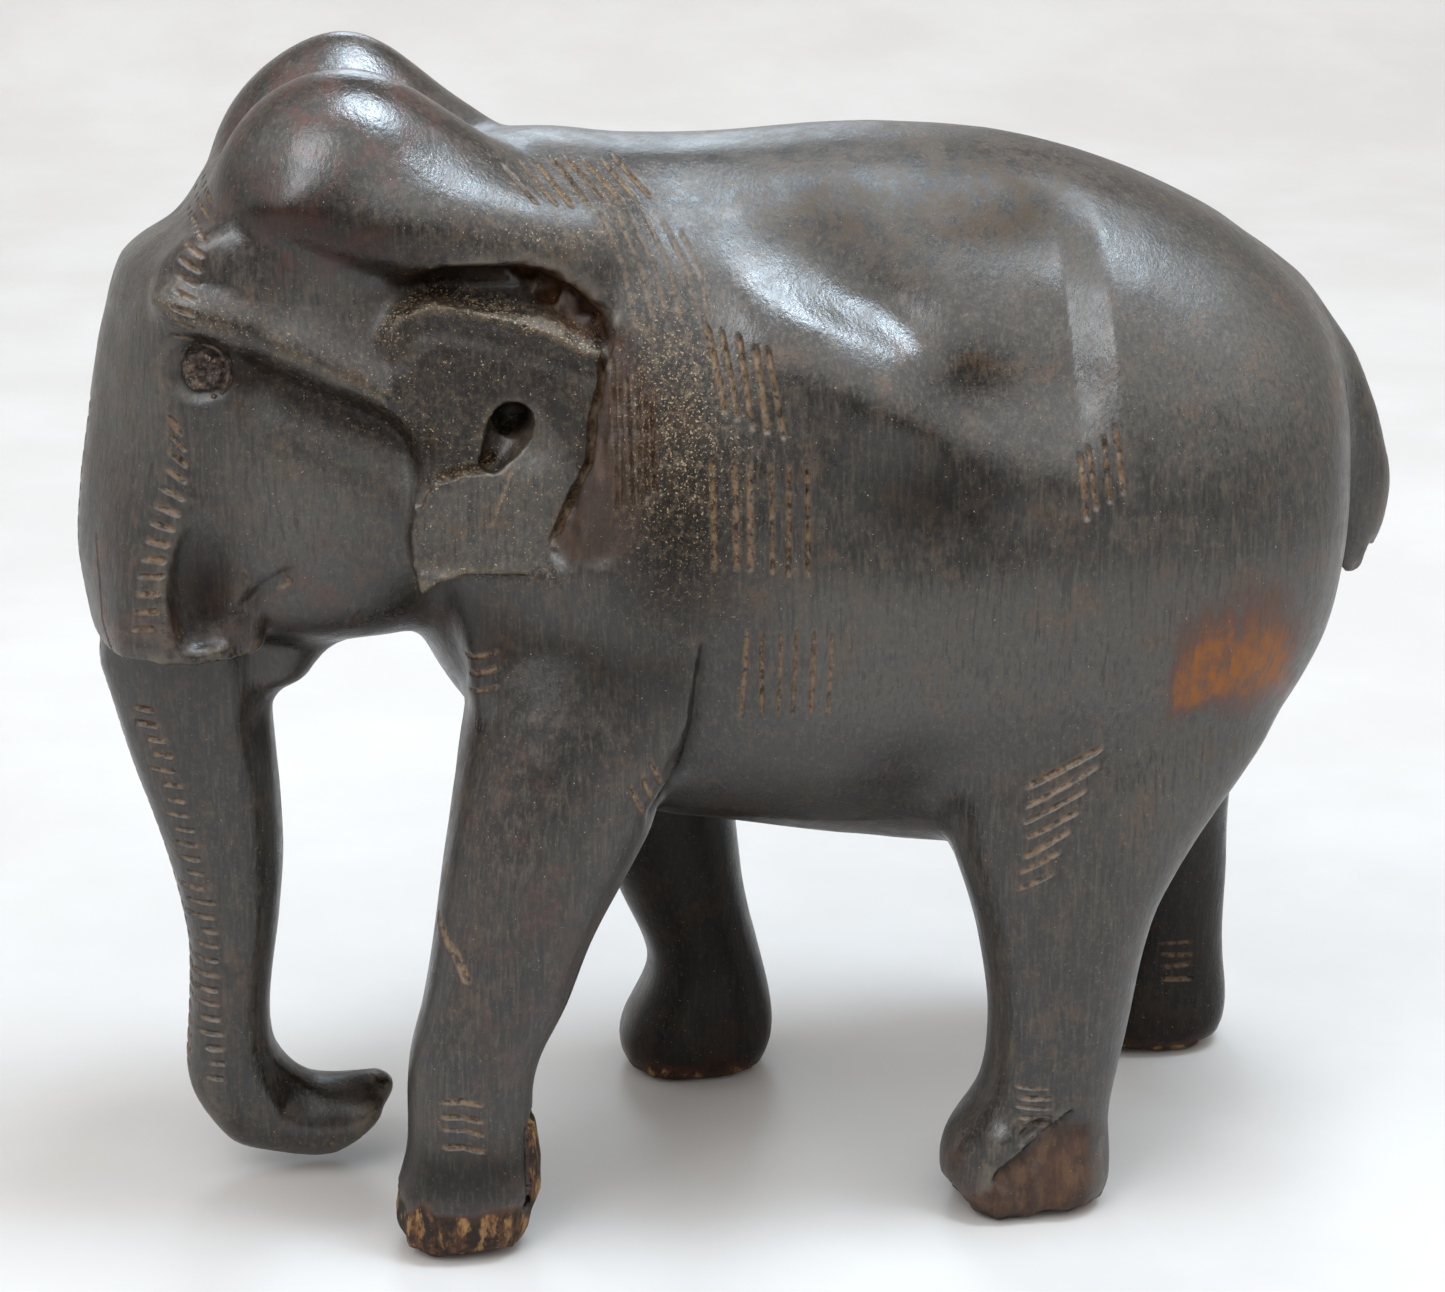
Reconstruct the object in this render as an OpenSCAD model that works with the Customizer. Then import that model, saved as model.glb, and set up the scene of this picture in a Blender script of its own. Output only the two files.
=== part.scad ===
// Hand-carved wooden elephant, standing with its trunk curled under.
// The animal faces -X, its left side is -Y, and the soles stand on z = 0.
// The body is one carved block; the two eyes are mastic plugs set in sockets.

/* [Body] */
// Outward fullness of the belly and shoulders, half width in mm
body_half_width = 31.5; // [28:0.5:35]
// Height of the back above the soles, mm
back_height = 133; // [128:0.5:138]
// Depth of the scooped hollow on each flank, mm
flank_hollow = 2.2; // [0:0.1:4]

/* [Head] */
// Sideways distance of each forehead dome from the middle, mm
dome_offset = 9.6; // [7:0.2:13]
// Radius of the forehead domes along the head, mm
dome_radius = 18; // [15:0.1:21]
// Half width of the head across the cheeks, mm
cheek_half_width = 20.5; // [17:0.5:23]
// Sideways distance of the flat ear face from the middle, mm
ear_face = 24; // [22:0.25:26]

/* [Trunk] */
// Half width of the trunk where it leaves the head, mm
trunk_half_width = 11; // [8:0.5:13]
// Half width of the trunk at the curled end, mm
trunk_end_half_width = 6; // [4:0.5:8]

/* [Legs] */
// Sideways distance of the foot centres from the middle, mm
foot_offset = 23.6; // [20:0.2:26]
// Half width of each foot across the animal, mm
foot_half_width = 8.5; // [7:0.25:11]

/* [Eyes] */
// Radius of the round eye sockets, mm
socket_radius = 3.8; // [2.5:0.1:5]
// Depth of the eye sockets, mm
socket_depth = 3; // [1.5:0.25:5]
// Radial gap between each plug and its socket, mm
plug_gap = 0.1; // [0.05:0.01:0.3]
// Radius of the dimple in the middle of each plug, mm
pupil_radius = 0.8; // [0.4:0.1:1.5]

/* [Hidden] */
// The model is drawn with x = 0 under the forelegs' middle and moved so
// that the origin is under the middle of the overall box.
x_centre = 3.5;
ring_points = 34;
limb_points = 22;
body_steps = 3;
limb_steps = 2;
tail_points = 14;
back_z = back_height;
tusk_side = 13.5;
eye_x = -62.3;
eye_z = 108.9;
eye_y = -15.9;
eye_turn = -18;
eye_lift = 4;
plug_rise = 0.4;

// ---- interpolation and lofting ----

function spline(a, b, c, d, t) =
    0.5 * ((2 * b) + (c - a) * t + (2 * a - 5 * b + 4 * c - d) * t * t
    + (3 * b - a - 3 * c + d) * t * t * t);

function smooth_stations(s, n) = concat(
    [for (i = [0 : len(s) - 2]) for (k = [0 : n - 1])
        spline(s[max(i - 1, 0)], s[i], s[i + 1], s[min(i + 2, len(s) - 1)], k / n)],
    [s[len(s) - 1]]);

function reversed(v) = [for (i = [len(v) - 1 : -1 : 0]) v[i]];

function signed_power(v, e) = sign(v) * pow(abs(v), e);

// One closed section.  A station is
// [x, y, z, tilt, reach forward, reach backward, half width, squareness].
// The section lies in the plane of Y and of the direction "tilt" degrees
// above +X; "reach forward" is along that direction.
function section(s, n) =
    let (dx = cos(s[3]), dz = sin(s[3]))
    [for (i = [0 : n - 1])
        let (
            a = 360 * i / n,
            u = signed_power(cos(a), 2 / s[7]) * (cos(a) > 0 ? s[4] : s[5]),
            v = signed_power(sin(a), 2 / s[7]) * s[6])
        [s[0] + u * dx, s[1] + v, s[2] + u * dz]];

module loft(stations, n, steps) {
    rows = smooth_stations(stations, steps);
    count = len(rows);
    rings = [for (r = rows) each section(r, n)];
    start_middle = [[rows[0][0], rows[0][1], rows[0][2]]];
    end_row = rows[count - 1];
    points = concat(rings, start_middle, [[end_row[0], end_row[1], end_row[2]]]);
    sides = [for (k = [0 : count - 2]) for (i = [0 : n - 1])
        let (j = (i + 1) % n, p = k * n, q = (k + 1) * n)
        each [[p + i, q + i, q + j], [p + i, q + j, p + j]]];
    first_cap = [for (i = [0 : n - 1]) [count * n, i, (i + 1) % n]];
    last_cap = [for (i = [0 : n - 1])
        [count * n + 1, (count - 1) * n + (i + 1) % n, (count - 1) * n + i]];
    polyhedron(points = points, faces = concat(sides, first_cap, last_cap), convexity = 8);
}

module both_sides() {
    children();
    mirror([0, 1, 0]) children();
}

// A chain of balls, each hulled to the next.  A ball is [x, y, z, radius].
module ball_chain(balls, facets) {
    for (i = [0 : len(balls) - 2]) {
        hull() {
            translate([balls[i][0], balls[i][1], balls[i][2]])
                sphere(r = balls[i][3], $fn = facets);
            translate([balls[i + 1][0], balls[i + 1][1], balls[i + 1][2]])
                sphere(r = balls[i + 1][3], $fn = facets);
        }
    }
}

// ---- trunk, head, torso ----

// Body from chest to rump, by x, top, bottom, height of the widest line,
// share of the full half width, and squareness of the section.
torso_table = [
    [-42, -12, 82, 101, 0.46, 2.2],
    [-36, -3.5, 68, 99, 0.62, 2.2],
    [-30, -0.8, 60, 95, 0.74, 2.2],
    [-22, 0.2, 53, 91, 0.85, 2.2],
    [-12, -0.9, 48.4, 87, 0.93, 2.2],
    [0, -1, 46.2, 84, 0.98, 2.15],
    [12, -0.2, 44, 81, 1.0, 2.1],
    [24, -0.4, 42.2, 80, 1.0, 2.1],
    [36, -2, 41.4, 81, 1.02, 2.1],
    [48, -5.6, 42.6, 83, 1.03, 2.15],
    [58, -10.2, 46, 84, 1.0, 2.2],
    [66, -15.4, 55, 84, 0.89, 2.2],
    [72, -21.4, 64.6, 85, 0.72, 2.2],
    [76, -28.4, 74.6, 88, 0.42, 2.1]];

function torso_station(t) =
    [t[0], 0, t[3], 90, back_z + t[1] - t[3], t[3] - t[2], t[4] * body_half_width, t[5]];

module torso() {
    loft(reversed([for (t = torso_table) torso_station(t)]), ring_points, body_steps);
}

// Head by height: front, back, share of the cheek half width, squareness.
head_table = [
    [73.4, -59, -38, 0.5, 2.4],
    [76.2, -63.5, -33, 0.72, 2.6],
    [82, -66.5, -27, 0.88, 2.8],
    [90, -67.5, -24, 0.97, 3],
    [99, -67.8, -22, 1.0, 3],
    [108, -67.8, -21, 1.02, 3],
    [116, -67, -22, 1.04, 2.8],
    [124, -64.6, -25, 1.02, 2.5],
    [131, -60, -30, 0.85, 2.3]];

module head() {
    loft([for (t = head_table)
        [(t[1] + t[2]) / 2, 0, t[0], 0, (t[2] - t[1]) / 2, (t[2] - t[1]) / 2,
            t[3] * cheek_half_width, t[4]]], ring_points, limb_steps);
}

module forehead_dome() {
    hull() {
        translate([-45.4, -dome_offset, back_z + 9.2 - dome_radius])
            scale([0.9, 0.72, 1]) sphere(r = dome_radius, $fn = 30);
        translate([-29.5, -dome_offset + 1, back_z - 12])
            sphere(r = 11.2, $fn = 20);
    }
}

// Trunk along its own curve: x, z, tilt, front reach, back reach,
// share of the taper from root half width to end half width.
trunk_table = [
    [-59.6, 124, 0, 2, 4, 0.8],
    [-60.4, 122.4, 0, 5.2, 6, 0.5],
    [-61.6, 119.4, 0, 8.6, 8, 0.28],
    [-63.5, 115, 0, 9.6, 9, 0.12],
    [-65.5, 108, 0, 9.6, 9.5, 0.05],
    [-67, 98, 0, 9.8, 10, 0],
    [-68, 86, -2, 10.6, 10.4, 0],
    [-67.6, 76, -5, 9.9, 10, 0.15],
    [-66, 66, -8, 9.2, 9.7, 0.3],
    [-64.2, 54.6, -8, 8.4, 8.8, 0.5],
    [-62.8, 42.6, -6, 6.9, 7.4, 0.7],
    [-62.3, 31.6, -2, 5.4, 5.6, 0.85],
    [-62.4, 22.6, 3, 5.7, 4.6, 0.95],
    [-62.2, 15.2, 24, 6, 5, 1],
    [-58.4, 9.4, 56, 5.6, 5.4, 1],
    [-53, 6.6, 84, 5, 5.2, 0.95],
    [-47.5, 6.9, 104, 4.2, 4.6, 0.9],
    [-43.6, 8.8, 122, 2.2, 2.8, 0.7]];

function trunk_half(t) = trunk_half_width + (trunk_end_half_width - trunk_half_width) * t;

module trunk() {
    loft(reversed([for (t = trunk_table)
        [t[0], 0, t[1], t[2], t[4], t[3], trunk_half(t[5]), 2.6]]),
        limb_points, limb_steps);
}

module tusk_sheath() {
    difference() {
        ball_chain([
            [-62.5, -tusk_side + 1, 101.4, 4],
            [-64.5, -tusk_side, 90.4, 5.8],
            [-65.8, -tusk_side, 80.4, 7.4],
            [-65.6, -tusk_side, 73.4, 6.6]], 20);
        translate([-80, -40, 57]) cube([30, 40, 17]);
    }
}

module lower_lip() {
    ball_chain([
        [-46, -6, 78.4, 5],
        [-52.4, -5, 74.4, 4.6],
        [-55, -4, 68.6, 3.7]], 14);
    ball_chain([
        [-46, 6, 78.4, 5],
        [-52.4, 5, 74.4, 4.6],
        [-55, 4, 68.6, 3.7]], 14);
    ball_chain([[-55, -4, 68.6, 3.7], [-55, 4, 68.6, 3.7]], 14);
}

// ---- ears ----

ear_outline = [
    [-40.5, 114.4], [-36, 117], [-29, 117], [-22, 114.4], [-17, 111],
    [-16, 105.4], [-19, 97.4], [-22, 88.4], [-25, 85.6], [-32, 86], [-38.5, 83.6],
    [-39.5, 89.4], [-38.5, 95.4], [-40, 104.4]];

// Solid slab with the ear's outline, from side distance "near" to "far".
module ear_slab(near, far) {
    translate([0, -near, 0]) rotate([90, 0, 0])
        linear_extrude(height = far - near) polygon(ear_outline);
}

module ear_hole() {
    translate([-27, -ear_face - 1, 104.4]) rotate([-90, 0, 0])
        cylinder(h = 4.5, r = 2.4, $fn = 20);
}

// ---- legs ----

// A leg by height: front, back, sideways centre as an inward shift from the
// foot's, half width as a share of the foot's, squareness.
left_fore_table = [
    [0, -43.2, -28.6, 0, 0.9, 2.8],
    [1.6, -44.2, -27.2, 0, 1.0, 2.8],
    [6, -44, -26, 0, 1.0, 2.7],
    [12, -42.2, -25.8, 0.2, 0.94, 2.6],
    [18.5, -42, -26.8, 0.4, 0.9, 2.5],
    [25, -41.6, -25.4, 0.7, 0.95, 2.5],
    [31, -39.8, -22, 1, 1.02, 2.4],
    [39, -38.2, -19, 2, 1.14, 2.4],
    [48, -36.8, -13.8, 3.5, 1.3, 2.4],
    [58, -35, -8.5, 5.5, 1.44, 2.3],
    [68, -33, -6, 8, 1.56, 2.2],
    [79, -28, -8, 11, 1.56, 2.1]];

right_fore_table = [
    [0, -9, 7.4, 0, 0.9, 2.8],
    [1.6, -10.6, 9.2, 0, 1.0, 2.8],
    [6.4, -11, 10.2, 0, 1.0, 2.7],
    [12, -8, 9.4, 0.2, 0.94, 2.6],
    [16.4, -6.8, 8.4, 0.4, 0.9, 2.5],
    [24.6, -10, 6.4, 1, 0.98, 2.4],
    [34, -14, 5, 2, 1.12, 2.4],
    [45, -19.5, 3.8, 3.5, 1.28, 2.4],
    [57, -24, 3, 5.5, 1.42, 2.3],
    [68, -26, 2, 8, 1.56, 2.2],
    [79, -24, -2, 11, 1.56, 2.1]];

left_hind_table = [
    [0, 27, 43.6, 1.2, 0.9, 2.8],
    [1.6, 25, 45.6, 1.2, 1.0, 2.8],
    [6, 24.2, 46.2, 1.2, 1.0, 2.7],
    [10.6, 25.6, 45.4, 1.2, 0.96, 2.6],
    [15.6, 29.3, 45.9, 1.2, 0.92, 2.5],
    [23.6, 30.2, 47.6, 1.4, 0.98, 2.4],
    [31.4, 29.5, 48.8, 1.8, 1.1, 2.4],
    [40, 27.8, 51.2, 2.5, 1.2, 2.4],
    [49, 24.5, 57, 4, 1.34, 2.3],
    [59, 22, 65, 6, 1.48, 2.2],
    [71, 24, 70, 9, 1.58, 2.1],
    [81, 34, 69, 12, 1.4, 2.1]];

right_hind_table = [
    [0, 55.6, 70.4, -0.4, 0.9, 2.8],
    [1.6, 53.6, 72.8, -0.4, 1.0, 2.8],
    [6.4, 53, 73.8, -0.4, 1.0, 2.7],
    [12.4, 55.2, 73, -0.2, 0.94, 2.6],
    [18.4, 56.4, 72.6, 0, 0.92, 2.5],
    [26, 55, 72.8, 0.6, 0.98, 2.4],
    [35, 51, 72.2, 1.6, 1.1, 2.4],
    [46, 45, 72.4, 3.5, 1.24, 2.4],
    [57, 38, 73, 5.5, 1.38, 2.3],
    [69, 36, 73.4, 9, 1.48, 2.2],
    [81, 42, 70, 12, 1.38, 2.1]];

module leg(table, side) {
    loft([for (t = table)
        [(t[1] + t[2]) / 2, side * (foot_offset - t[3]), t[0], 0,
            (t[2] - t[1]) / 2, (t[2] - t[1]) / 2, t[4] * foot_half_width, t[5]]],
        limb_points, limb_steps);
}

// ---- tail ----

module tail() {
    ball_chain([
        [69, 0, 109, 5],
        [75.6, 0, 101, 4.8],
        [79.4, 0, 93, 4.5],
        [81.3, 0, 86.5, 4.4],
        [81.3, 0, 81, 3.9],
        [80.8, 0, 76.4, 3],
        [80.4, 0, 74.6, 2.4]], tail_points);
}

// ---- eyes ----

// Moves children so that their +Z is the outward axis of the left eye.
module at_eye() {
    translate([eye_x, eye_y, eye_z]) rotate([90 + eye_lift, 0, eye_turn]) children();
}

module eye_socket() {
    at_eye() translate([0, 0, -socket_depth + 2])
        cylinder(h = socket_depth + 8, r = socket_radius, $fn = 40);
}

module eye_plug() {
    at_eye() translate([0, 0, -socket_depth + 2]) difference() {
        cylinder(h = socket_depth - 0.4, r1 = socket_radius - plug_gap,
            r2 = socket_radius - plug_gap - 0.2, $fn = 40);
        translate([0, 0, socket_depth - 1.4]) cylinder(h = 3, r = pupil_radius, $fn = 24);
    }
}

// ---- the pieces ----

module flank_scoop() {
    translate([22, -body_half_width - 21 + flank_hollow, 109]) rotate([0, 12, 0])
        scale([1.15, 1, 0.75]) sphere(r = 24, $fn = 48);
}

module carved_body() {
    color([0.13, 0.09, 0.075]) difference() {
        union() {
            torso();
            head();
            trunk();
            tail();
            lower_lip();
            both_sides() forehead_dome();
            both_sides() tusk_sheath();
            both_sides() ear_slab(12, ear_face);
            leg(left_fore_table, -1);
            leg(right_fore_table, 1);
            leg(left_hind_table, -1);
            leg(right_hind_table, 1);
        }
        both_sides() ear_slab(ear_face, 40);
        both_sides() ear_hole();
        both_sides() flank_scoop();
        both_sides() eye_socket();
    }
}

module left_eye_plug() {
    color([0.32, 0.2, 0.12]) eye_plug();
}

module right_eye_plug() {
    color([0.32, 0.2, 0.12]) mirror([0, 1, 0]) eye_plug();
}

translate([-x_centre, 0, 0]) {
    carved_body();
    left_eye_plug();
    right_eye_plug();
}
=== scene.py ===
import itertools
import math

import bpy
import numpy as np
import openvdb as vdb
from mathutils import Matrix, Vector
from mathutils.kdtree import KDTree


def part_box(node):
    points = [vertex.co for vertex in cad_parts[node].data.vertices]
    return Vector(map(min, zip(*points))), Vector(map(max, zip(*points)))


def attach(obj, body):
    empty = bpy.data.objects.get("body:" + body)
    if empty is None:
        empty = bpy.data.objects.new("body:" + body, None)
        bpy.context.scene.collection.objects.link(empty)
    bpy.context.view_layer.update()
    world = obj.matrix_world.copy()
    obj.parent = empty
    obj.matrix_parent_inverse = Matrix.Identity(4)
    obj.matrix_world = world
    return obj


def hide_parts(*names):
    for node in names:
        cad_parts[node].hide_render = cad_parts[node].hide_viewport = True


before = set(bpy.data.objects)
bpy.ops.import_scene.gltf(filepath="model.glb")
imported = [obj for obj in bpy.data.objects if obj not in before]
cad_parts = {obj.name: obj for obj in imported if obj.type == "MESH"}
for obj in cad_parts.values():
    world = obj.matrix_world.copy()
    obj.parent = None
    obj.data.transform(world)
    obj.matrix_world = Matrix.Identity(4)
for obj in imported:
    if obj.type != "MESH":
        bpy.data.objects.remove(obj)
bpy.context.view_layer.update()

# The CAD body becomes a distance field, which is softened, carved, meshed, and then cut with
# gouge marks. Masks on the mesh tell its material where the wood is bare, dusty or rubbed, and
# where shade, sheen and highlights are painted into its colour.
#
# Sculpting is in millimetres in the part's own frame: the animal faces -X, its left side is
# -Y, and its soles stand on z = 0. Relief on the two sides is drawn once, in (x, o, z), where
# o grows outward from the middle plane on either side.
MM = 0.001
LEFT, RIGHT = -1, 1
SIDES = (LEFT, RIGHT)

VOXEL = 0.5  # edge of one cell of the field
BAND = 7.0  # beyond this distance from the surface the field is flat
GRID_LO = np.array([-90, -40, -8])
GRID_HI = np.array([90, 40, 150])
SOFTENING = 1.6  # blur that rounds the CAD solid before it is carved
CAVITY_BLUR = 1.5  # blur that the carved field is compared with, to find edges and hollows
FIRST_MESH = 2  # cells of the field to one cell of the first, coarse mesh
SOLE_RIM = 0.6  # below this height the soles are left flat


# ---------------------------------------------------------------- small maths

def smoothstep(a, b, x):
    """0 at a and before it, 1 at b and after it; b may be below a."""
    t = np.clip((x - a) / (b - a), 0, 1)
    return t * t * (3 - 2 * t)


def window(a, b, c, d, x):
    """Rises from a to b, and falls again from c to d."""
    return smoothstep(a, b, x) * (1 - smoothstep(c, d, x))


def bell(x, middle, width):
    return np.exp(-((x - middle) / width) ** 2)


def spot(x, z, middle, size):
    """An oval that is 1 in its middle and fades outward."""
    return bell(x, middle[0], size[0]) * bell(z, middle[1], size[1])


def smin(a, b, k):
    """The smaller of two distances, rounded off over a width k."""
    h = np.clip(0.5 + 0.5 * (b - a) / k, 0, 1)
    return b * (1 - h) + a * h - k * h * (1 - h)


def smax(a, b, k):
    return -smin(-a, -b, k)


def hash01(ix, iy, iz, seed):
    """A number in 0..1 for each whole-numbered point, the same in each run."""
    h = (ix * 374761393 + iy * 668265263 + iz * 2147483647 + seed * 1274126177) & 0xFFFFFFFF
    h = ((h ^ (h >> 13)) * 1274126177) & 0xFFFFFFFF
    h = h ^ (h >> 16)
    return (h & 0xFFFFFF).astype(np.float32) / float(0xFFFFFF)


def cell_corners(f):
    """The eight corners of a grid cell, each with its share of the point at fractions f."""
    for dx, dy, dz in itertools.product((0, 1), repeat=3):
        share = (f[0] if dx else 1 - f[0]) * (f[1] if dy else 1 - f[1])
        yield dx, dy, dz, share * (f[2] if dz else 1 - f[2])


def noise(x, y, z, scale, seed=0):
    """Smooth value noise in -1..1; scale is a length, or one length per axis."""
    sx, sy, sz = (scale, scale, scale) if np.isscalar(scale) else scale
    x, y, z = np.broadcast_arrays(x / sx, y / sy, z / sz)
    cells = [np.floor(v).astype(np.int64) for v in (x, y, z)]
    f = [v - c for v, c in zip((x, y, z), cells)]
    f = [v * v * (3 - 2 * v) for v in f]
    out = 0
    for dx, dy, dz, share in cell_corners(f):
        out = out + share * hash01(cells[0] + dx, cells[1] + dy, cells[2] + dz, seed)
    return out * 2 - 1


def line_distance(x, z, pts):
    """Distance to a polyline in the (x, z) plane."""
    best = np.inf
    for a, b in zip(pts[:-1], pts[1:]):
        n = math.dist(a, b)
        ux, uz = (b[0] - a[0]) / n, (b[1] - a[1]) / n
        t = np.clip((x - a[0]) * ux + (z - a[1]) * uz, 0, n)
        best = np.minimum(best, np.hypot(x - a[0] - ux * t, z - a[1] - uz * t))
    return best


def near_line(x, z, pts, width):
    """1 on a polyline, fading away from it."""
    return bell(line_distance(x, z, pts), 0, width)


def polygon_distance(x, z, pts):
    """Signed distance to a closed polygon in the (x, z) plane, negative inside."""
    closed = pts + pts[:1]
    d = line_distance(x, z, closed)
    inside = np.zeros(np.broadcast(x, z).shape, dtype=bool)
    for a, b in zip(closed[:-1], closed[1:]):
        if a[1] == b[1]:
            continue
        cross = (z < a[1]) != (z < b[1])
        at = a[0] + (z - a[1]) * (b[0] - a[0]) / (b[1] - a[1])
        inside ^= cross & (x < at)
    return np.where(inside, -d, d)


def pick(at, table):
    """The second column of a table, read off where its first, growing column is at."""
    return np.interp(at, [row[0] for row in table], [row[1] for row in table])


def crease(x, z, pts, depth, above, below, fade=4):
    """A push inward that is deepest on a line and dies away over two different widths."""
    s = z - pick(x, pts)
    fall = np.where(s > 0, np.exp(-(s / above) ** 2), np.exp(-(s / below) ** 2))
    first, last = pts[0][0], pts[-1][0]
    return depth * fall * window(first - fade, first + fade, last - fade, last + fade, x)


# ---------------------------------------------------------------- distance field

class Field:
    """A dense signed distance field, negative inside, that shapes are blended into."""

    def __init__(self, verts, tris):
        self.transform = vdb.createLinearTransform(voxelSize=VOXEL)
        grid = vdb.FloatGrid.createLevelSetFromPolygons(
            verts, triangles=tris, transform=self.transform, halfWidth=BAND / VOXEL)
        self.start = np.floor(GRID_LO / VOXEL).astype(int)
        shape = np.ceil((GRID_HI - GRID_LO) / VOXEL).astype(int)
        self.d = np.empty(shape, dtype=np.float32)
        grid.copyToArray(self.d, ijk=tuple(int(v) for v in self.start))

    def part(self, lo, hi):
        """The cells between two corners: their slices, then their x, y and z."""
        a = np.maximum(np.floor(np.asarray(lo) / VOXEL).astype(int) - self.start, 0)
        b = np.minimum(np.ceil(np.asarray(hi) / VOXEL).astype(int) - self.start + 1, self.d.shape)
        where = tuple(slice(i, j) for i, j in zip(a, b))
        x, y, z = [((np.arange(i, j) + s) * VOXEL).astype(np.float32)
                   for i, j, s in zip(a, b, self.start)]
        return where, x[:, None, None], y[None, :, None], z[None, None, :]

    def side(self, s, lo, hi):
        """The same on one side, in (x, o, z)."""
        y0, y1 = sorted((s * lo[1], s * hi[1]))
        where, x, y, z = self.part((lo[0], y0, lo[2]), (hi[0], y1, hi[2]))
        return where, x, s * y, z
    def add(self, box, shape, k):
        where, x, y, z = box
        self.d[where] = smin(self.d[where], shape(x, y, z), k)

    def cut(self, box, shape, k):
        where, x, y, z = box
        self.d[where] = smax(self.d[where], -shape(x, y, z), k)

    def trim(self, box, shape, k, share):
        """Takes off that share of what lies outside shape."""
        d = self.d[box[0]]
        d += (smax(d, shape, k) - d) * share

    def push(self, box, amount):
        """Moves the surface inward by amount, in mm."""
        self.d[box[0]] += np.asarray(amount, dtype=np.float32)
    def blurred(self, sigma):
        r = int(math.ceil(2.6 * sigma / VOXEL))
        k = np.exp(-0.5 * (np.arange(-r, r + 1) * VOXEL / sigma) ** 2)
        k = (k / k.sum()).astype(np.float32)
        out = self.d
        for axis in range(3):
            pad = [(0, 0)] * 3
            pad[axis] = (r, r)
            src = np.pad(out, pad, mode="edge")
            acc = np.zeros_like(out)
            for n, w in enumerate(k):
                cut = [slice(None)] * 3
                cut[axis] = slice(n, n + out.shape[axis])
                acc += w * src[tuple(cut)]
            out = acc
        return out

    def value(self, p, grid=None):
        """The field, or another grid of its shape, at points (n, 3)."""
        grid = self.d if grid is None else grid
        q = p / VOXEL - self.start
        i = np.clip(np.floor(q).astype(np.int64), 0, np.array(grid.shape) - 2)
        out = 0
        for dx, dy, dz, share in cell_corners(np.clip(q - i, 0, 1).T):
            out = out + share * grid[i[:, 0] + dx, i[:, 1] + dy, i[:, 2] + dz]
        return out
    def slope(self, p, step=0.3):
        g = np.empty_like(p)
        for axis in range(3):
            shift = np.zeros(3)
            shift[axis] = step
            g[:, axis] = (self.value(p + shift) - self.value(p - shift)) / (2 * step)
        return g

    def normal(self, p):
        g = self.slope(p)
        return g / np.maximum(np.linalg.norm(g, axis=1, keepdims=True), 1e-6)

    def settle(self, p, rounds=3):
        """Moves points onto the surface."""
        for _ in range(rounds):
            g = self.slope(p)
            size = np.maximum((g * g).sum(axis=1), 0.2)
            p = p - np.clip(self.value(p) / size, -1, 1)[:, None] * g
        return p

    def march(self, p, way):
        """Follows rays from p along way until they meet the surface."""
        p = np.array(p, dtype=float)
        for _ in range(160):
            p = p + np.clip(self.value(p) * 0.6, -0.3, 1.2)[:, None] * np.asarray(way, dtype=float)
        return p

    def surface(self, every):
        """Points and quads of the surface, meshed from one cell in every few."""
        grid = vdb.FloatGrid()
        grid.transform = vdb.createLinearTransform(voxelSize=VOXEL * every)
        grid.background = BAND
        first = -self.start % every
        coarse = self.d[first[0]::every, first[1]::every, first[2]::every]
        ijk = (self.start + first) // every
        grid.copyFromArray(np.ascontiguousarray(coarse), ijk=tuple(int(v) for v in ijk))
        grid.gridClass = "level set"
        points, quads = grid.convertToQuads(isovalue=0)
        return points.astype(np.float64), quads.astype(np.int64)


def ellipsoid(c, r, pitch=0):
    """pitch tilts the long X axis up, in degrees."""
    cp, sp = math.cos(math.radians(pitch)), math.sin(math.radians(pitch))

    def shape(x, y, z):
        x, y, z = x - c[0], y - c[1], z - c[2]
        x, z = x * cp + z * sp, -x * sp + z * cp
        k0 = np.sqrt((x / r[0]) ** 2 + (y / r[1]) ** 2 + (z / r[2]) ** 2) + 1e-6
        k1 = np.sqrt((x / r[0] ** 2) ** 2 + (y / r[1] ** 2) ** 2 + (z / r[2] ** 2) ** 2) + 1e-6
        return k0 * (k0 - 1) / k1
    return shape


def capsule(a, b, ra, rb):
    a, b = np.asarray(a, float), np.asarray(b, float)
    ab = b - a
    n = float(ab @ ab)

    def shape(x, y, z):
        t = ((x - a[0]) * ab[0] + (y - a[1]) * ab[1] + (z - a[2]) * ab[2]) / n
        t = np.clip(t, 0, 1)
        d = np.sqrt((x - a[0] - ab[0] * t) ** 2 + (y - a[1] - ab[1] * t) ** 2
                    + (z - a[2] - ab[2] * t) ** 2)
        return d - (ra + (rb - ra) * t)
    return shape


# ---------------------------------------------------------------- lines of the carving

# Points are (x, z), apart from the tables that say (z, value). First the face: the sharp
# corner between its front and its side, and the front on the middle line, both (z, x).
FACE_CORNER = [(75, -76.6), (78, -76.6), (82, -75.8), (87, -74.9), (94, -72.9), (99, -71.2), (103, -70.9),
               (107, -71.2), (114, -70.7), (122, -69.2), (129, -67), (134, -64.2)]
FACE_MIDDLE = [(69, -79.3), (76, -81.2), (84, -82), (93, -81.2), (101, -79.5), (109, -78.4),
               (115, -76.4), (119, -74.2), (123, -69.5), (127, -66), (134, -62)]
CORNER_HALF_WIDTH = 17.4
SHEATH_END = 74.4

DOME_EDGE = [(-64, 125.6), (-59, 124.2), (-54, 122.2), (-48.7, 120), (-43, 118.4), (-38, 117.6)]
BROW_RIDGE = [(-69, 116.3), (-66, 115.4), (-61.5, 114), (-55, 111.2), (-47.2, 107.2), (-43.5, 104.6),
              (-40.5, 102)]
BROW_HOLLOW = [(-61.5, 109.2), (-54.8, 106), (-47.3, 102.8), (-41, 100.6)]

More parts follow.
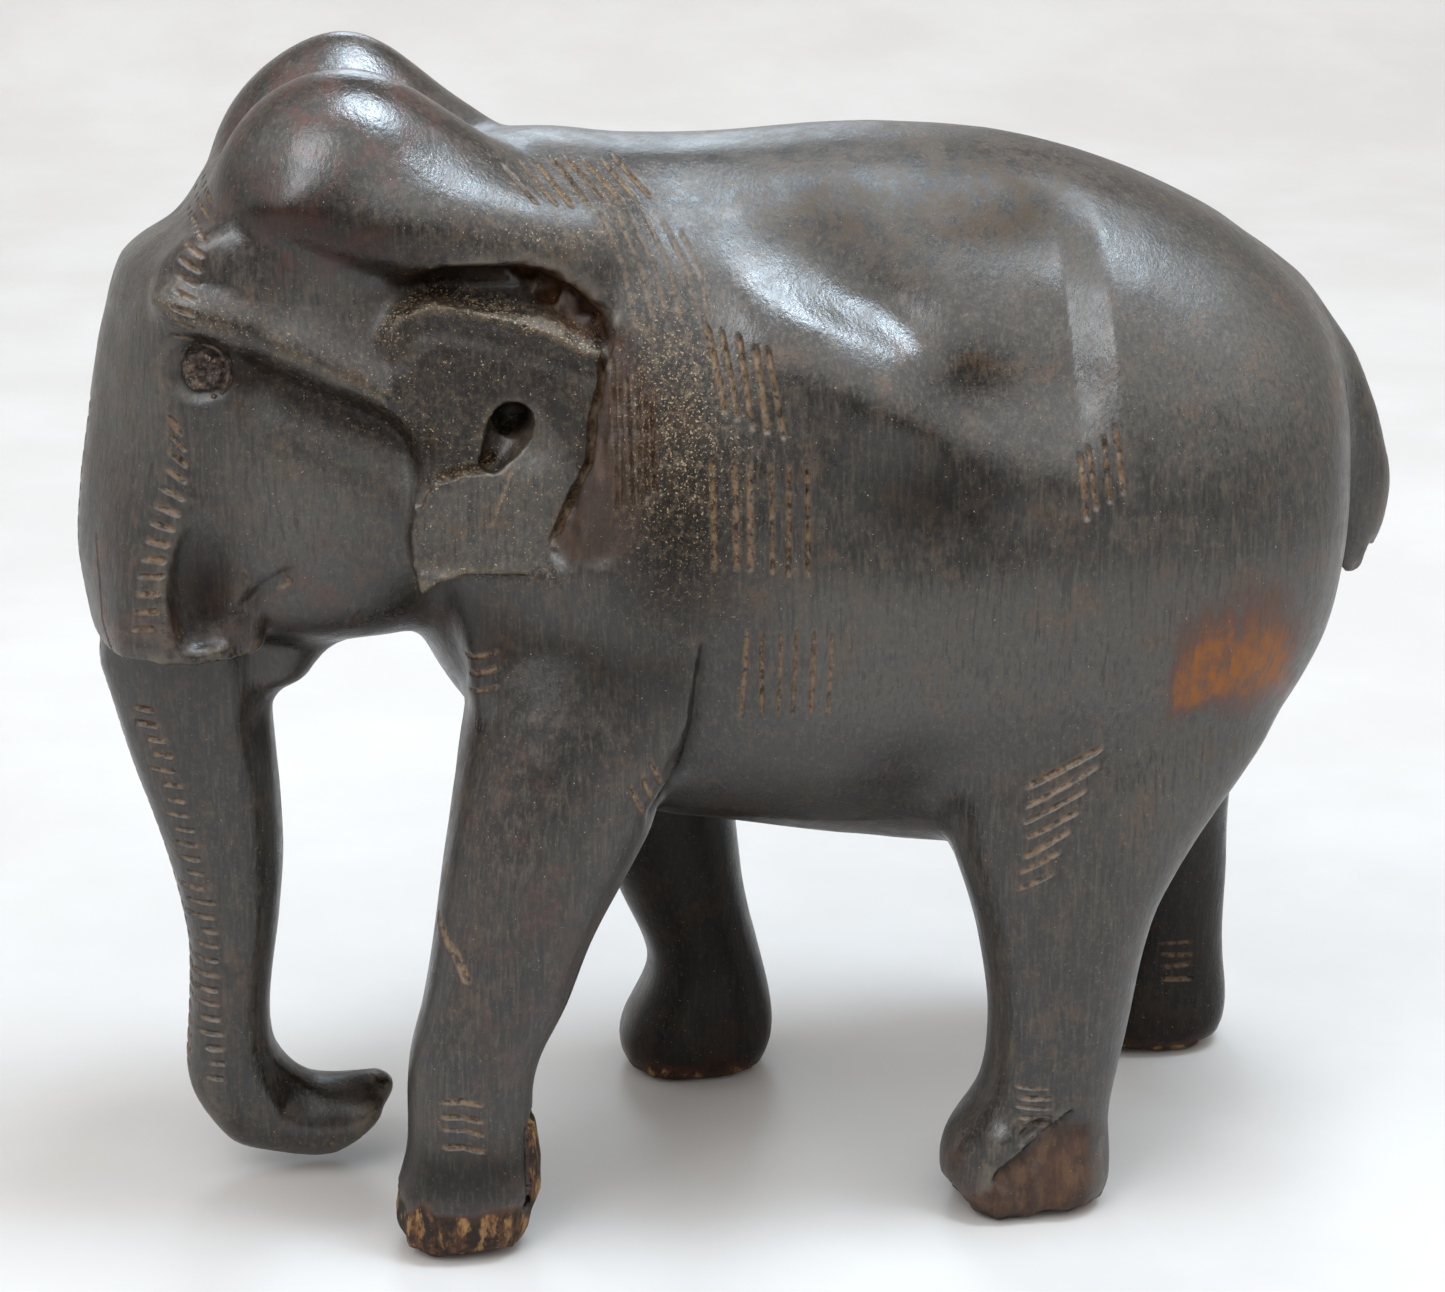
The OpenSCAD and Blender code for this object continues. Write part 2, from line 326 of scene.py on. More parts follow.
EAR_FOLD = [(-45.4, 113), (-44, 115.4), (-40, 117), (-35.7, 116.2), (-31.2, 115.1), (-26, 113.4),
            (-21.5, 111.4)]
EAR_CRACK = [(-20.6, 111.2), (-20.7, 107.7), (-21.9, 103.6), (-22.3, 98.4), (-24, 95), (-25.8, 91.2),
             (-27.1, 88.4)]
EAR_FRONT = [(-42.4, 93), (-40.6, 96), (-42, 100), (-44.5, 105), (-45.8, 109)]
LOBE_HEM = [(-27.2, 85.3), (-31.7, 85.2), (-37, 85.3), (-39.9, 84.3), (-42.1, 82.9)]
LOBE_FRONT = [(-43, 86.5), (-43.1, 90), (-42.3, 93)]
LOBE_CURL = [(-40.5, 96.3), (-37, 97.5), (-34.4, 97.7), (-33.2, 98.7)]
LOBE_ARC = [(-29, 105.5), (-26.8, 102.6), (-24.8, 99.6), (-23.7, 96.5), (-24.4, 93)]
EAR = EAR_FOLD + EAR_CRACK + LOBE_HEM + LOBE_FRONT + EAR_FRONT[1:]
LOBE = LOBE_HEM + LOBE_FRONT + LOBE_CURL + LOBE_ARC + [(-26.5, 89)]
SHELF = [(-43.4, 119.2), (-41, 120.4), (-38.8, 121.2), (-35, 121.2), (-31.3, 121.1), (-27.6, 120.5),
         (-23.8, 118.6), (-20.5, 115.6), (-18.5, 112.5)]
BROKEN_EDGE = [(-31.2, 121.2), (-27.6, 121.2), (-23.6, 119.4), (-19.8, 115.6), (-19.6, 112.6),
               (-22.4, 112.4), (-26.2, 114.4), (-29, 118)]
RAW_STRIP = [(-20.6, 112.4), (-18.6, 113.4), (-16.2, 110), (-15, 107), (-14.6, 102), (-15.4, 95),
             (-17.6, 90), (-20.4, 87), (-25.6, 86.4), (-27.2, 88.4), (-24, 95), (-22.2, 98.4),
             (-21.8, 103.6), (-20.6, 107.7)]
WORN_PATCH = [(45.8, 77.1), (46.2, 67), (61.7, 67.6), (60.9, 82.7), (53.5, 84.2)]

# Tables for the trunk and the shoulder: (z, half width), then (z, x)
TRUNK_HALF_WIDTH = [(10, 5.6), (24, 5.9), (34, 6.4), (45, 7.2), (57, 8.1), (68, 8.9), (78, 9.6)]
TRUNK_REAR_EDGE = [(16, -62.8), (22, -62.8), (30, -62.4), (43, -61.6), (52, -61.8), (62, -64)]
RUNG_END = [(15, -67.1), (27, -67.3), (38, -67.1), (47, -68.9), (57, -71.1), (66, -73.9)]
SHOULDER_CREASE = [(56, -16.2), (60, -12.6), (66, -11.3), (73, -10.7), (80, -9.8)]

CURL_RIDGE = [(-61.6, 43), (-62.4, 30), (-63.2, 18.3), (-62.7, 13.4), (-60.6, 9.8), (-57, 8.6),
              (-53.4, 9.8), (-48.8, 11), (-46.8, 13.4)]


def ear_level(x, z):
    """Outward height of the ear's face."""
    return 21.5 + 0.10 * (x + 44) + 0.03 * (112 - z)


def hind_flake(x, z):
    """Distances across and along the edge where a flake has left the near hind foot."""
    x, z = x - 29.6, z - 9.9
    return x * 0.66 - z * 0.75, x * 0.75 + z * 0.66


# ---------------------------------------------------------------- carving the body

def carve_face(f):
    """Front planes that meet the cheeks in a crisp corner, ending below in the tusk sheaths."""
    where, x, y, z = f.part((-87, -24, 70), (-50, 24, 138))
    o = np.abs(y)
    far = y > 0
    share = o / CORNER_HALF_WIDTH
    middle = pick(z, FACE_MIDDLE) + 0.4
    corner = pick(z, FACE_CORNER) + far * 3.6 * smoothstep(98, 114, z)
    front = (middle + (corner - middle) * share ** 2.3 - x) * 0.88
    mouth = 1 - smoothstep(86, 97, z)
    side = o - (17.7 + 0.11 * (x + 70.5) - 0.5 * mouth * np.maximum(x + 65, 0))
    top = z - (120.6 + np.where(far, -4, 4.5) * share ** 2)
    sharp = 0.45 + 1.4 * (1 - smoothstep(94, 102, z)) + 3.5 * smoothstep(113, 124, z)
    shape = smax(smax(front, side, sharp), top, 4)
    shape = smax(smax(shape, SHEATH_END - z, 0.4), x + 57 + 3 * mouth, 2.5)
    f.d[where] = smin(f.d[where], shape, 1.1 + 5 * smoothstep(112, 122, z))
    # nothing of the sheaths hangs below their cut ends
    free = smax(smax(z - SHEATH_END + 0.1, pick(z, TRUNK_HALF_WIDTH) + 0.1 - o, 0.3), x + 60.5, 0.6)
    f.d[where] = smax(f.d[where], -free, 0.3)


def carve_temples(f, s):
    """Overhanging forehead dome, the hollow under it, the brow and the hollow under that."""
    f.add(f.side(s, (-52, 6, 110), (-10, 30, 136)),
          capsule((-42, 16.4, 124.4), (-23, 15.8, 121.6), 6, 6), 5)
    box = _, x, o, z = f.side(s, (-78, 8, 90), (-30, 34, 136))
    push = crease(x, z, DOME_EDGE, 2.7, 2.7, 7.5) * (0.35 + 0.65 * smoothstep(-64, -46, x))
    push = push - crease(x, z, BROW_RIDGE, 1.4, 3.2, 2.2, 2.5)
    push = push + crease(x, z, BROW_HOLLOW, 2.2, 2.2, 5, 2.5)
    f.push(box, push * smoothstep(8, 13, o))
    if s == RIGHT:
        box = _, x, o, z = f.side(s, (-64, 2, 124), (-32, 28, 146))
        f.push(box, -1.5 * bell(x, -47, 7.5) * smoothstep(128, 139, z) * smoothstep(3, 9, o))
    brow = (-64, 16.4, 115) if s == LEFT else (-61.5, 16, 113.6)
    f.add(f.side(s, (-78, 8, 104), (-50, 26, 124)), ellipsoid(brow, (8, 4.3, 3.2), -20), 1.6)


def carve_eye_hollow(f, s):
    """The socket that the mastic is pressed into."""
    f.cut(f.side(s, (-78, 10, 100), (-56, 30, 120)), ellipsoid((-67.2, 20.6, 109), (5.4, 4.2, 4.5)), 0.6)


def carve_sheath(f, s):
    """Hollow outer face and thin lip of the stump that a tusk would leave."""
    box = _, x, o, z = f.side(s, (-86, 6, 68), (-52, 32, 104))
    f.cut(box, ellipsoid((-67, 24, 83.4), (5.7, 7.7, 12)), 1)
    lip = [(-74.6, 17.2, 75.6), (-72, 18.3, 75.1), (-68.5, 18.5, 75), (-65, 18, 75.3)]
    for a, b in zip(lip[:-1], lip[1:]):
        f.add(box, capsule(a, b, 0.6, 0.6), 1.2)
    mouth = near_line(x, z, [(-63, 80), (-59.6, 83), (-57, 84.6)], 1)
    f.push(box, 0.6 * mouth * smoothstep(10, 13, o))


def carve_ear(f, s):
    """Step under the skull, the flat ear, its raised lobe, and the hole in its middle."""
    box = where, x, o, z = f.side(s, (-54, 12, 76), (-10, 34, 127))
    under = pick(x, SHELF) - z
    step = window(-0.3, 0.8, 2.6, 7, under) * window(-46, -37, -21.5, -18.5, x)
    f.push(box, 2.9 * step)
    f.push(box, -0.7 * spot(x, z, (-48, 92), (4.5, 9)))

    outline, lobe = polygon_distance(x, z, EAR), polygon_distance(x, z, LOBE)
    fold = line_distance(x, z, EAR_FOLD)
    level = ear_level(x, z)
    level = level + 0.55 * bell(fold, 0, 0.9) - 0.75 * bell(fold, 2.6, 1.6)
    level = level + 0.5 * smoothstep(0.35, -0.45, lobe) * (1 - near_line(x, z, LOBE_ARC, 2.2))
    level = level + 1 * np.exp(-np.maximum(z - 85, 0) / 1.8) * smoothstep(-25, -29, x)
    level = level - 1.3 * bell(np.hypot(x + 29.4, z - 100.2), 0, 3) * (lobe < 0.5)
    flat = o - level
    melt = 0.3 + 2.4 * smoothstep(-37, -45, x) * smoothstep(92, 97, z)
    f.d[where] = smax(f.d[where], -smax(outline, -flat, 0.3), melt)
    f.d[where] = smin(f.d[where], smax(smax(outline, flat, melt), 14 - o, 0.3), melt)
    f.cut(box, capsule((-31.2, 26, 102.7), (-31, 18.8, 102.9), 2.9, 2.2), 0.5)
    f.cut(box, capsule((-31.6, 22.4, 101.8), (-33.5, 22, 98.4), 2.7, 1.7), 0.3)
    # the skull's edge has broken away at the back of the ear
    broken = polygon_distance(x, z, BROKEN_EDGE)
    rough = noise(x, o, z, 2, 4) * 1.1 + noise(x, o, z, 1.1, 5) * 0.6
    f.push(box, (1 + rough) * smoothstep(1.2, -1.2, broken + 0.7 * noise(x, o, z, 2.6, 7)))
    strip = polygon_distance(x, z, RAW_STRIP) + 0.8 * noise(x, o, z, (2, 4, 7), 8)
    f.push(box, (0.45 + 0.4 * noise(x, o, z, (1.3, 3, 9), 6)) * smoothstep(1.4, -1.4, strip))


def carve_chest(f, s):
    """Fills the hollow between cheek and shoulder."""
    f.add(f.side(s, (-46, 8, 60), (-20, 32, 92)),
          capsule((-32.5, 17, 84), (-31.5, 19.2, 71), 4.9, 4.9), 3)


def carve_trunk(f):
    """Flat sides, a bevelled rear edge, a fuller front, and the curl's inner facet."""
    box = _, x, y, z = f.part((-90, -14, 2), (-52, 14, 75))
    over = np.abs(y) - pick(z, TRUNK_HALF_WIDTH)
    f.trim(box, over, 0.8, window(6, 14, 69, 73.5, z))
    bevel = (x - pick(z, TRUNK_REAR_EDGE)) * 0.76 + (over + 0.2) * 0.65
    f.trim(box, bevel, 0.5, window(17, 24, 60, 68, z))
    box = _, x, y, z = f.part((-90, -14, 2), (-64, 14, 78))
    fuller = 1.1 * window(40, 64, 69, 74, z) + 1.2 * bell(z, 9, 9)
    f.push(box, -fuller * smoothstep(-64, -69, x) * (1 - smoothstep(5, 9, np.abs(y))))
    box = _, x, y, z = f.part((-74, -10, -4), (-50, 10, 12))
    f.push(box, -1.3 * bell(x, -66.2, 4) * smoothstep(9, 3, z))
    box = where, x, y, z = f.part((-70, -10, 2), (-40, 10, 32))
    f.add(box, capsule((-54.5, 0, 7.2), (-48.6, 0, 9.6), 4, 2.7), 2)
    beneath = (x + 50) * 0.70 - (z - 5.6) * 0.71
    f.d[where] = smax(f.d[where], beneath, 1.6)
    inward = -polygon_distance(x, z, CURL_RIDGE + [(-40, 30), (-50, 43)])
    facet = (np.abs(y) - 5.6 + 0.95 * inward - 0.045 * np.clip(inward, 0, 8) ** 2) * 0.75
    f.trim(box, facet, 0.5, smoothstep(-1.5, 0, inward) * (1 - smoothstep(24, 31, z)))


def carve_flank(f, s):
    """Roll of flesh along the ribs, a faint hollow behind it, and one upright facet at the hip."""
    box = _, x, o, z = f.side(s, (-34, 6, 40), (60, 40, 140))
    facet = np.clip((38.9 - x - 0.03 * (z - 112)) / 4.8, 0, 1)
    facet = facet * smoothstep(12, 34, x) * window(95, 107, 120, 129, z)
    above = z - 116.4 + 0.43 * (x + 1)
    roll = (0.40 + 0.38 * smoothstep(-3, 9, x)) * above * np.exp(-(above / 7.2) ** 2)
    roll = roll * (0.6 + 0.4 * smoothstep(-2, 1.5, above))
    hollow = 2.3 * facet + roll * window(-9, -1, 12, 22, x)
    hollow = hollow + 0.9 * bell(x, -9.5, 5) * smoothstep(100, 116, z)
    for depth, middle, size in ((1, (17, 93), (9, 7)), (-0.5, (12.5, 102), (7, 5)),
                                (1.7, (17, 58), (7, 9))):
        hollow = hollow + depth * spot(x, z, middle, size)
    f.push(box, hollow * smoothstep(7, 14, o))


def carve_shoulder(f, s):
    """Crease behind the foreleg, which stands further back on the right."""
    shift = 0 if s == LEFT else 7
    box = _, x, o, z = f.side(s, (-32, 14, 48), (16, 38, 88))
    behind = x - shift - pick(z, SHOULDER_CREASE)
    fall = smoothstep(-0.4, 0.6, behind) * np.exp(-np.maximum(behind, 0) / 3.2) * 1.7
    fall = fall * window(52, 58, 74, 82, z) - 0.6 * bell(behind, -2, 2) * bell(z, 62, 7)
    f.push(box, fall * smoothstep(14, 18, o))


def carve_feet(f):
    """Splits, chips and a knot in the two near feet, and flat soles."""
    box = where, x, o, z = f.side(LEFT, (-50, 10, 0), (-24, 36, 22))
    wander = 0.3 * noise(0, o, z, 3, 11)
    slit = smax(np.abs(x + 31.6 + wander) - 0.28, np.abs(z - 11.8) - 5, 0.4)
    slab = smax(-(x + 31), np.abs(z - 16.6 - 0.6 * (x + 31)) - 0.9, 0.3)
    for split, floor_o in ((slit, 24.5), (slab, 22)):
        f.d[where] = smax(f.d[where], -smax(split, floor_o - o, 0.5), 0.3)
    f.cut(box, ellipsoid((-28, 27.5, 3.6), (2.9, 9, 3.2)), 0.6)
    fringe = z + 0.9 * noise(x, o, 0, 3.2, 13)
    f.push(box, (0.35 + 0.3 * noise(x, o, z, (1.4, 1.4, 5), 12)) * smoothstep(7.6, 6.2, fringe))

    box = _, x, o, z = f.side(LEFT, (14, 10, 0), (46, 36, 24))
    across, along = hind_flake(x, z)
    flake = smoothstep(-0.3, 0.5, across) * np.exp(-np.maximum(across, 0) / 5)
    f.push(box, 2.1 * flake * window(-5.6, -3.6, 6, 9.5, along) * smoothstep(22, 25, o))
    f.add(box, ellipsoid((27.2, 27.4, 10.8), (2.3, 2.6, 2), 40), 1)
    f.cut(box, ellipsoid((31.2, 31, 12.6), (2.9, 2.4, 1.5), 38), 0.6)
    f.cut(box, ellipsoid((20.2, 27.6, 7), (1.7, 2.4, 2.3)), 0.5)
    f.cut(box, ellipsoid((19.6, 28, 0.2), (4.6, 11, 4.4)), 0.6)
    rough = 0.3 * noise(x, o, z, (1.5, 1.5, 7), 14)
    f.push(box, rough * smoothstep(24, 26, o) * smoothstep(11, 9, z))
    for s in SIDES:
        box = _, x, o, z = f.side(s, (-56, 6, 0), (74, 40, 6))
        f.push(box, 0.35 * np.maximum(noise(x, o, z, 3, 15), 0) * smoothstep(5, 1, z))
    where, _, _, z = f.part(GRID_LO, (90, 40, 3))
    f.d[where] = np.maximum(f.d[where], -z)


def carve_back(f):
    """Fills in behind the tail's root, and cuts a chip on the spine and the tail's ragged tip."""
    f.add(f.part((54, -16, 78), (84, 16, 122)), ellipsoid((66, 0, 99.5), (6.6, 8.2, 15), 20), 5)
    f.cut(f.part((40, -12, 124), (60, 8, 140)), ellipsoid((47.5, -3, 132.6), (1.5, 1.8, 1.1)), 0.4)
    box = _, x, y, z = f.part((68, -8, 70), (86, 8, 84))
    ragged = 0.9 * np.maximum(noise(x, y, 0, 1.3, 21), 0)
    f.push(box, ragged * smoothstep(80, 77, z) * smoothstep(73.5, 75.5, x))


def node_mesh(name):
    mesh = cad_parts[name].data
    verts = np.empty(len(mesh.vertices) * 3, dtype=np.float32)
    mesh.vertices.foreach_get("co", verts)
    mesh.calc_loop_triangles()
    tris = np.empty(len(mesh.loop_triangles) * 3, dtype=np.int32)
    mesh.loop_triangles.foreach_get("vertices", tris)
    return verts.reshape(-1, 3) / MM, tris.reshape(-1, 3).astype(np.uint32)


def carve_body():
    f = Field(*node_mesh("carved_body"))
    f.d = f.blurred(SOFTENING)
    carve_face(f)
    for s in SIDES:
        carve_temples(f, s)
        carve_eye_hollow(f, s)
        carve_sheath(f, s)
        carve_ear(f, s)
        carve_chest(f, s)
        carve_flank(f, s)
        carve_shoulder(f, s)
    carve_trunk(f)
    carve_back(f)
    carve_feet(f)
    return f


# ---------------------------------------------------------------- gouge marks

class Marks:
    """Strokes cut with a small gouge, kept as close-set points on the surface."""

    STEP = 0.25  # between samples along a stroke
    MISS = 0.25  # a ray that ends this far from the surface has missed it
    GAP = 6 * STEP  # a stroke is broken where its samples lie further apart

    def __init__(self, field, seed):
        self.field = field
        self.rng = np.random.default_rng(seed)
        self.start, self.way, self.next = [], [], []
        self.depth, self.half, self.taper, self.dusty = [], [], [], []

    def stroke(self, pts, depth, half, place, soft_ends=1.2, dusty=1):
        """pts run over the surface; place turns one into a ray's start and direction."""
        pts = np.asarray(pts, dtype=float)
        lengths = np.linalg.norm(np.diff(pts, axis=0), axis=1)
        done = np.concatenate([[0], np.cumsum(lengths)])
        count = max(int(done[-1] / self.STEP), 2) + 1
        at = np.linspace(0, done[-1], count)
        line = np.stack([np.interp(at, done, pts[:, k]) for k in range(2)], axis=1)
        deep = depth * (1 + 0.25 * self.rng.uniform(-1, 1))
        wide = half * (1 + 0.2 * self.rng.uniform(-1, 1))
        ends = smoothstep(0, soft_ends, at) * smoothstep(0, soft_ends, done[-1] - at)
        waver = 1 + 0.25 * np.sin(at * self.rng.uniform(1.5, 3) + self.rng.uniform(0, 6))
        for n, (u, v) in enumerate(line):
            p, way = place(u, v)
            self.start.append(p)
            self.way.append(way)
            self.next.append(n < count - 1)
            self.depth.append(deep * waver[n])
            self.half.append(wide)
            self.taper.append(ends[n])
            self.dusty.append(dusty)

    def hatch(self, place, first, last, step, count, depth, half, shrink=0, bend=0, dusty=1):
        """Parallel strokes: the first runs first..last, and each next one is a step further."""
        first, last, step = (np.asarray(v, dtype=float) for v in (first, last, step))
        for n in range(count):
            shake = self.rng.uniform(-0.3, 0.3, (2, 2))
            a = first + step * n + shake[0]
            b = first + step * n + (last - first) * (1 - shrink * n) + shake[1]
            across = np.array([b[1] - a[1], a[0] - b[0]]) / max(np.linalg.norm(b - a), 1e-6)
            self.stroke([a, (a + b) / 2 + across * bend, b], depth, half, place, dusty=dusty)

    def finish(self):
        """Drops every sample onto the surface, and finds which way its stroke runs there."""
        self.point = self.field.march(self.start, self.way)
        hit = np.abs(self.field.value(self.point)) < self.MISS
        tangent = np.roll(self.point, -1, axis=0) - self.point
        joined = np.asarray(self.next) & hit & np.roll(hit, -1)
        joined &= np.linalg.norm(tangent, axis=1) <= self.GAP
        tangent[~joined] = 0
        before = np.roll(tangent, 1, axis=0)
        tangent[~joined] = before[~joined]
        size = np.linalg.norm(tangent, axis=1, keepdims=True)
        self.tangent = tangent / np.maximum(size, 1e-6)
        self.depth, self.half, self.dusty = map(np.asarray, (self.depth, self.half, self.dusty))
        self.taper = np.asarray(self.taper) * hit
        self.tree = KDTree(len(self.point))
        for n, p in enumerate(self.point):
            self.tree.insert(p, n)
        self.tree.balance()

    def near(self, points):
        """For each point: distance to the nearest stroke's line, and that stroke's sample."""
        found = np.array([self.tree.find(p)[1] for p in points])
        off = points - self.point[found]
        along = (off * self.tangent[found]).sum(axis=1)
        along = np.clip(along, -self.STEP, self.STEP)
        off = off - along[:, None] * self.tangent[found]
        return np.linalg.norm(off, axis=1), found


def outside(s):
    """Looks in at one side, for strokes drawn in (x, z)."""
    return lambda x, z: ((x, s * 39, z), (0, -s, 0))


def inside(s):
    """Looks out from the middle plane at the inner face of a leg."""
    return lambda x, z: ((x, s * 4, z), (0, s, 0))


def ahead(y, z):
    """Looks at the front, for strokes drawn in (y, z)."""
    return (-89, y, z), (1, 0, 0)


def cut_marks(field):
    """All strokes. A hatch gives its first stroke, its step, its count, and depth and half width."""
    m = Marks(field, 20)
    for s in SIDES:
        on = outside(s)
        # neck, shoulder and ribs
        m.hatch(on, (-31.3, 131.8), (-27, 127.4), (1.95, -0.1), 8, 0.42, 0.42)
        m.hatch(on, (-20.6, 127.4), (-16.6, 113.6), (1.9, -0.6), 6, 0.13, 0.42, 0.05, -0.8, dusty=0.5)
        m.hatch(on, (-8.5, 114.6), (-7.1, 103.8), (1.65, -0.7), 5, 0.42, 0.42)
        m.hatch(on, (-8.6, 100.2), (-8.5, 86.2), (2.1, -0.25), 6, 0.50, 0.46)
        m.hatch(on, (-5, 79.4), (-5.1, 67.2), (1.95, 0.05), 6, 0.34, 0.38)
        m.hatch(on, (33.9, 99), (34.7, 90.8), (1.4, 1), 4, 0.42, 0.5)
        # thigh, elbow and chest
        m.hatch(on, (28.9, 57), (38.9, 62.8), (-0.15, -2.05), 7, 0.30, 0.45, 0.09)
        m.hatch(on, (-16.4, 63.4), (-14.3, 58.7), (-1.1, -1.4), 3, 0.35, 0.5)
        m.hatch(on, (-37, 74.2), (-33.2, 75.8), (0.2, -2.1), 3, 0.3, 0.42)
        # brow: short strokes leaving the corner of the face
        for n in range(10):
            z = 113.6 + 1.75 * n
            x = pick(z, FACE_CORNER) + 0.7
            m.stroke([(x, z), (x + 3.5 - 0.12 * n, z - 0.8 - 0.17 * n)], 0.38, 0.45, on)
        # sheath: a fan that opens from steep to level down its front edge
        for n in range(13):
            z = 104.5 - 2.2 * n
            x = pick(z, FACE_CORNER) + 0.4
            turn = math.radians(-58 + 7.5 * n if n < 10 else 14)
            m.stroke([(x, z), (x + 3.8 * math.cos(turn), z + 3.8 * math.sin(turn))], 0.42, 0.48, on)
        # trunk: a ladder down its front edge, and slants under the curl
        for n in range(26):
            z = 65 - 2 * n
            x = pick(z, RUNG_END) + m.rng.uniform(-0.3, 0.3)
            length = m.rng.uniform(2.7, 4.2)
            m.stroke([(x - length, z + 0.35), (x, z)], 0.4, 0.48, on, 0.8, 1 - 0.022 * n)
        m.hatch(on, (-61.5, 4.8), (-60.2, 3.7), (2.1, 0.3), 6, 0.14, 0.35, dusty=0.7)
        # ear: the split behind it, its curling line, and a scratch over the lobe
        m.stroke(EAR_CRACK, 1, 0.55, on, dusty=0.5)
        m.stroke(LOBE_CURL + [(-32.8, 99)], 0.8, 0.75, on, dusty=0.35)
        m.stroke([(-42.4, 92.6), (-41.6, 94.6), (-40.5, 96.3)], 0.55, 0.6, on, dusty=0.4)
        m.stroke([(-31.2, 98), (-34, 90.6)], 0.10, 0.26, on, dusty=0.8)
        m.hatch(on, (-19.6, 110.5), (-19.8, 92.5), (0.85, -0.9), 6, 0.55, 0.34, 0.08, dusty=0.15)
        # corner of the mouth and the check in the front of the trunk
        m.stroke([(-58.2, 85), (-57.1, 83.4), (-59, 82.2)], 0.3, 0.4, on, dusty=0.7)
        m.stroke([(-62.4, 85.6), (-62.1, 83)], 0.25, 0.4, on, dusty=0.7)
        m.stroke([(-79.4, 88.4), (-79.2, 78), (-77.9, 73.8)], 0.55, 0.35, on)
    # scar on the near foreleg
    m.stroke([(-41.6, 43.6), (-40.3, 40.6), (-39.3, 39.4), (-38, 36)], 0.22, 0.8, outside(LEFT))
    # ankles
    m.hatch(outside(LEFT), (-42.5, 21.6), (-36, 20.8), (0.15, -1.95), 4, 0.4, 0.45, 0.03, -0.5)
    m.hatch(outside(LEFT), (28.4, 18.5), (33.4, 18.2), (0.1, -1.35), 5, 0.3, 0.38, dusty=0.7)
    m.hatch(outside(RIGHT), (-8, 20.8), (-1.6, 20.4), (0.1, -1.9), 4, 0.38, 0.45)
    m.hatch(outside(RIGHT), (56, 18.4), (62, 18.2), (0.1, -1.8), 4, 0.38, 0.45)
    m.hatch(inside(RIGHT), (58.4, 17), (63.6, 17), (0.2, -1.75), 4, 0.3, 0.42, dusty=0.7)
    # rings across the front of the trunk, from brow to curl
    for n in range(44):
        z = 102 - 2 * n
        m.stroke([(-3.4, z - 0.3), (0, z), (3.4, z - 0.3)], 0.3, 0.5, ahead)
    m.finish()
    return m


# ---------------------------------------------------------------- mesh of the body

def facing_out(points, tri):
    """The triangles of a closed mesh, turned over if they face inward."""
    corners = points[tri]
    volume = np.einsum("ij,ij->i", corners[:, 0], np.cross(corners[:, 1], corners[:, 2])).sum()
    return tri if volume > 0 else tri[:, ::-1]


def triangles_of(quads, points):
    """Cuts each quad along its shorter diagonal."""
    a, b, c, d = quads.T
    ac = np.linalg.norm(points[a] - points[c], axis=1)
    bd = np.linalg.norm(points[b] - points[d], axis=1)
    by_ac = (ac <= bd)[:, None]
    first = np.where(by_ac, np.stack([a, b, c], 1), np.stack([a, b, d], 1))
    second = np.where(by_ac, np.stack([a, c, d], 1), np.stack([b, c, d], 1))
    return facing_out(points, np.concatenate([first, second]))


# How a triangle is cut when 0, 1, 2 or 3 of its edges are halved, the first of them first.
# Corners 0 to 2 are its own, and 3 to 5 are the middles of the edges that follow them.
CUTS = {0: [(0, 1, 2)],
        1: [(0, 3, 2), (3, 1, 2)],
        2: [(3, 1, 4), (0, 3, 4), (0, 4, 2)],
        3: [(0, 3, 5), (3, 1, 4), (5, 4, 2), (3, 4, 5)]}


def split_edges(points, tri, wants):
    """Halves each edge that wants(a, b) marks, and re-cuts its triangles to match."""
    edge = np.sort(np.stack([tri, np.roll(tri, -1, axis=1)], axis=2), axis=2)
    key = edge[:, :, 0] * len(points) + edge[:, :, 1]
    unique, inverse = np.unique(key.ravel(), return_inverse=True)
    a, b = unique // len(points), unique % len(points)
    marked = wants(a, b)
    number = np.where(marked, len(points) + np.cumsum(marked) - 1, -1)
    points = np.concatenate([points, (points[a[marked]] + points[b[marked]]) / 2])
    mid = number[inverse.reshape(-1, 3)]
    total = (mid >= 0).sum(axis=1)
    # turn each triangle so that its pattern starts at the same corner
    turn = np.where(total == 1, (mid >= 0).argmax(axis=1), 0)
    turn = np.where(total == 2, ((mid >= 0).argmin(axis=1) + 1) % 3, turn)
    order = (turn[:, None] + np.arange(3)) % 3
    six = np.concatenate([np.take_along_axis(v, order, 1) for v in (tri, mid)], axis=1)
    pieces = [six[total == n][:, cut] for n, cuts in CUTS.items() for cut in cuts]
    return points, np.concatenate(pieces)


# Each round halves the edges that are longer than the first number and either within the
# second of a stroke, or between normals whose product is below the third.
ROUNDS = ((0.75, 1.2, 0.93), (0.4, 0.8, 0.90), (0.26, 0.6, None))


def fine_mesh(field, marks):
    """The field's surface, with small triangles along the strokes and the creases."""
    points, quads = field.surface(FIRST_MESH)
    tri = triangles_of(quads, points)
    points = field.settle(points)
    for shortest, reach, bend in ROUNDS:
        distance, _ = marks.near(points)
        normal = field.normal(points)

        def wants(a, b):
            length = np.linalg.norm(points[a] - points[b], axis=1)
            close = np.minimum(distance[a], distance[b]) < reach
            if bend is not None:
                close |= (normal[a] * normal[b]).sum(axis=1) < bend
            return close & (length > shortest)
        before = len(points)
        points, tri = split_edges(points, tri, wants)
        points[before:] = field.settle(points[before:])
    return points, tri


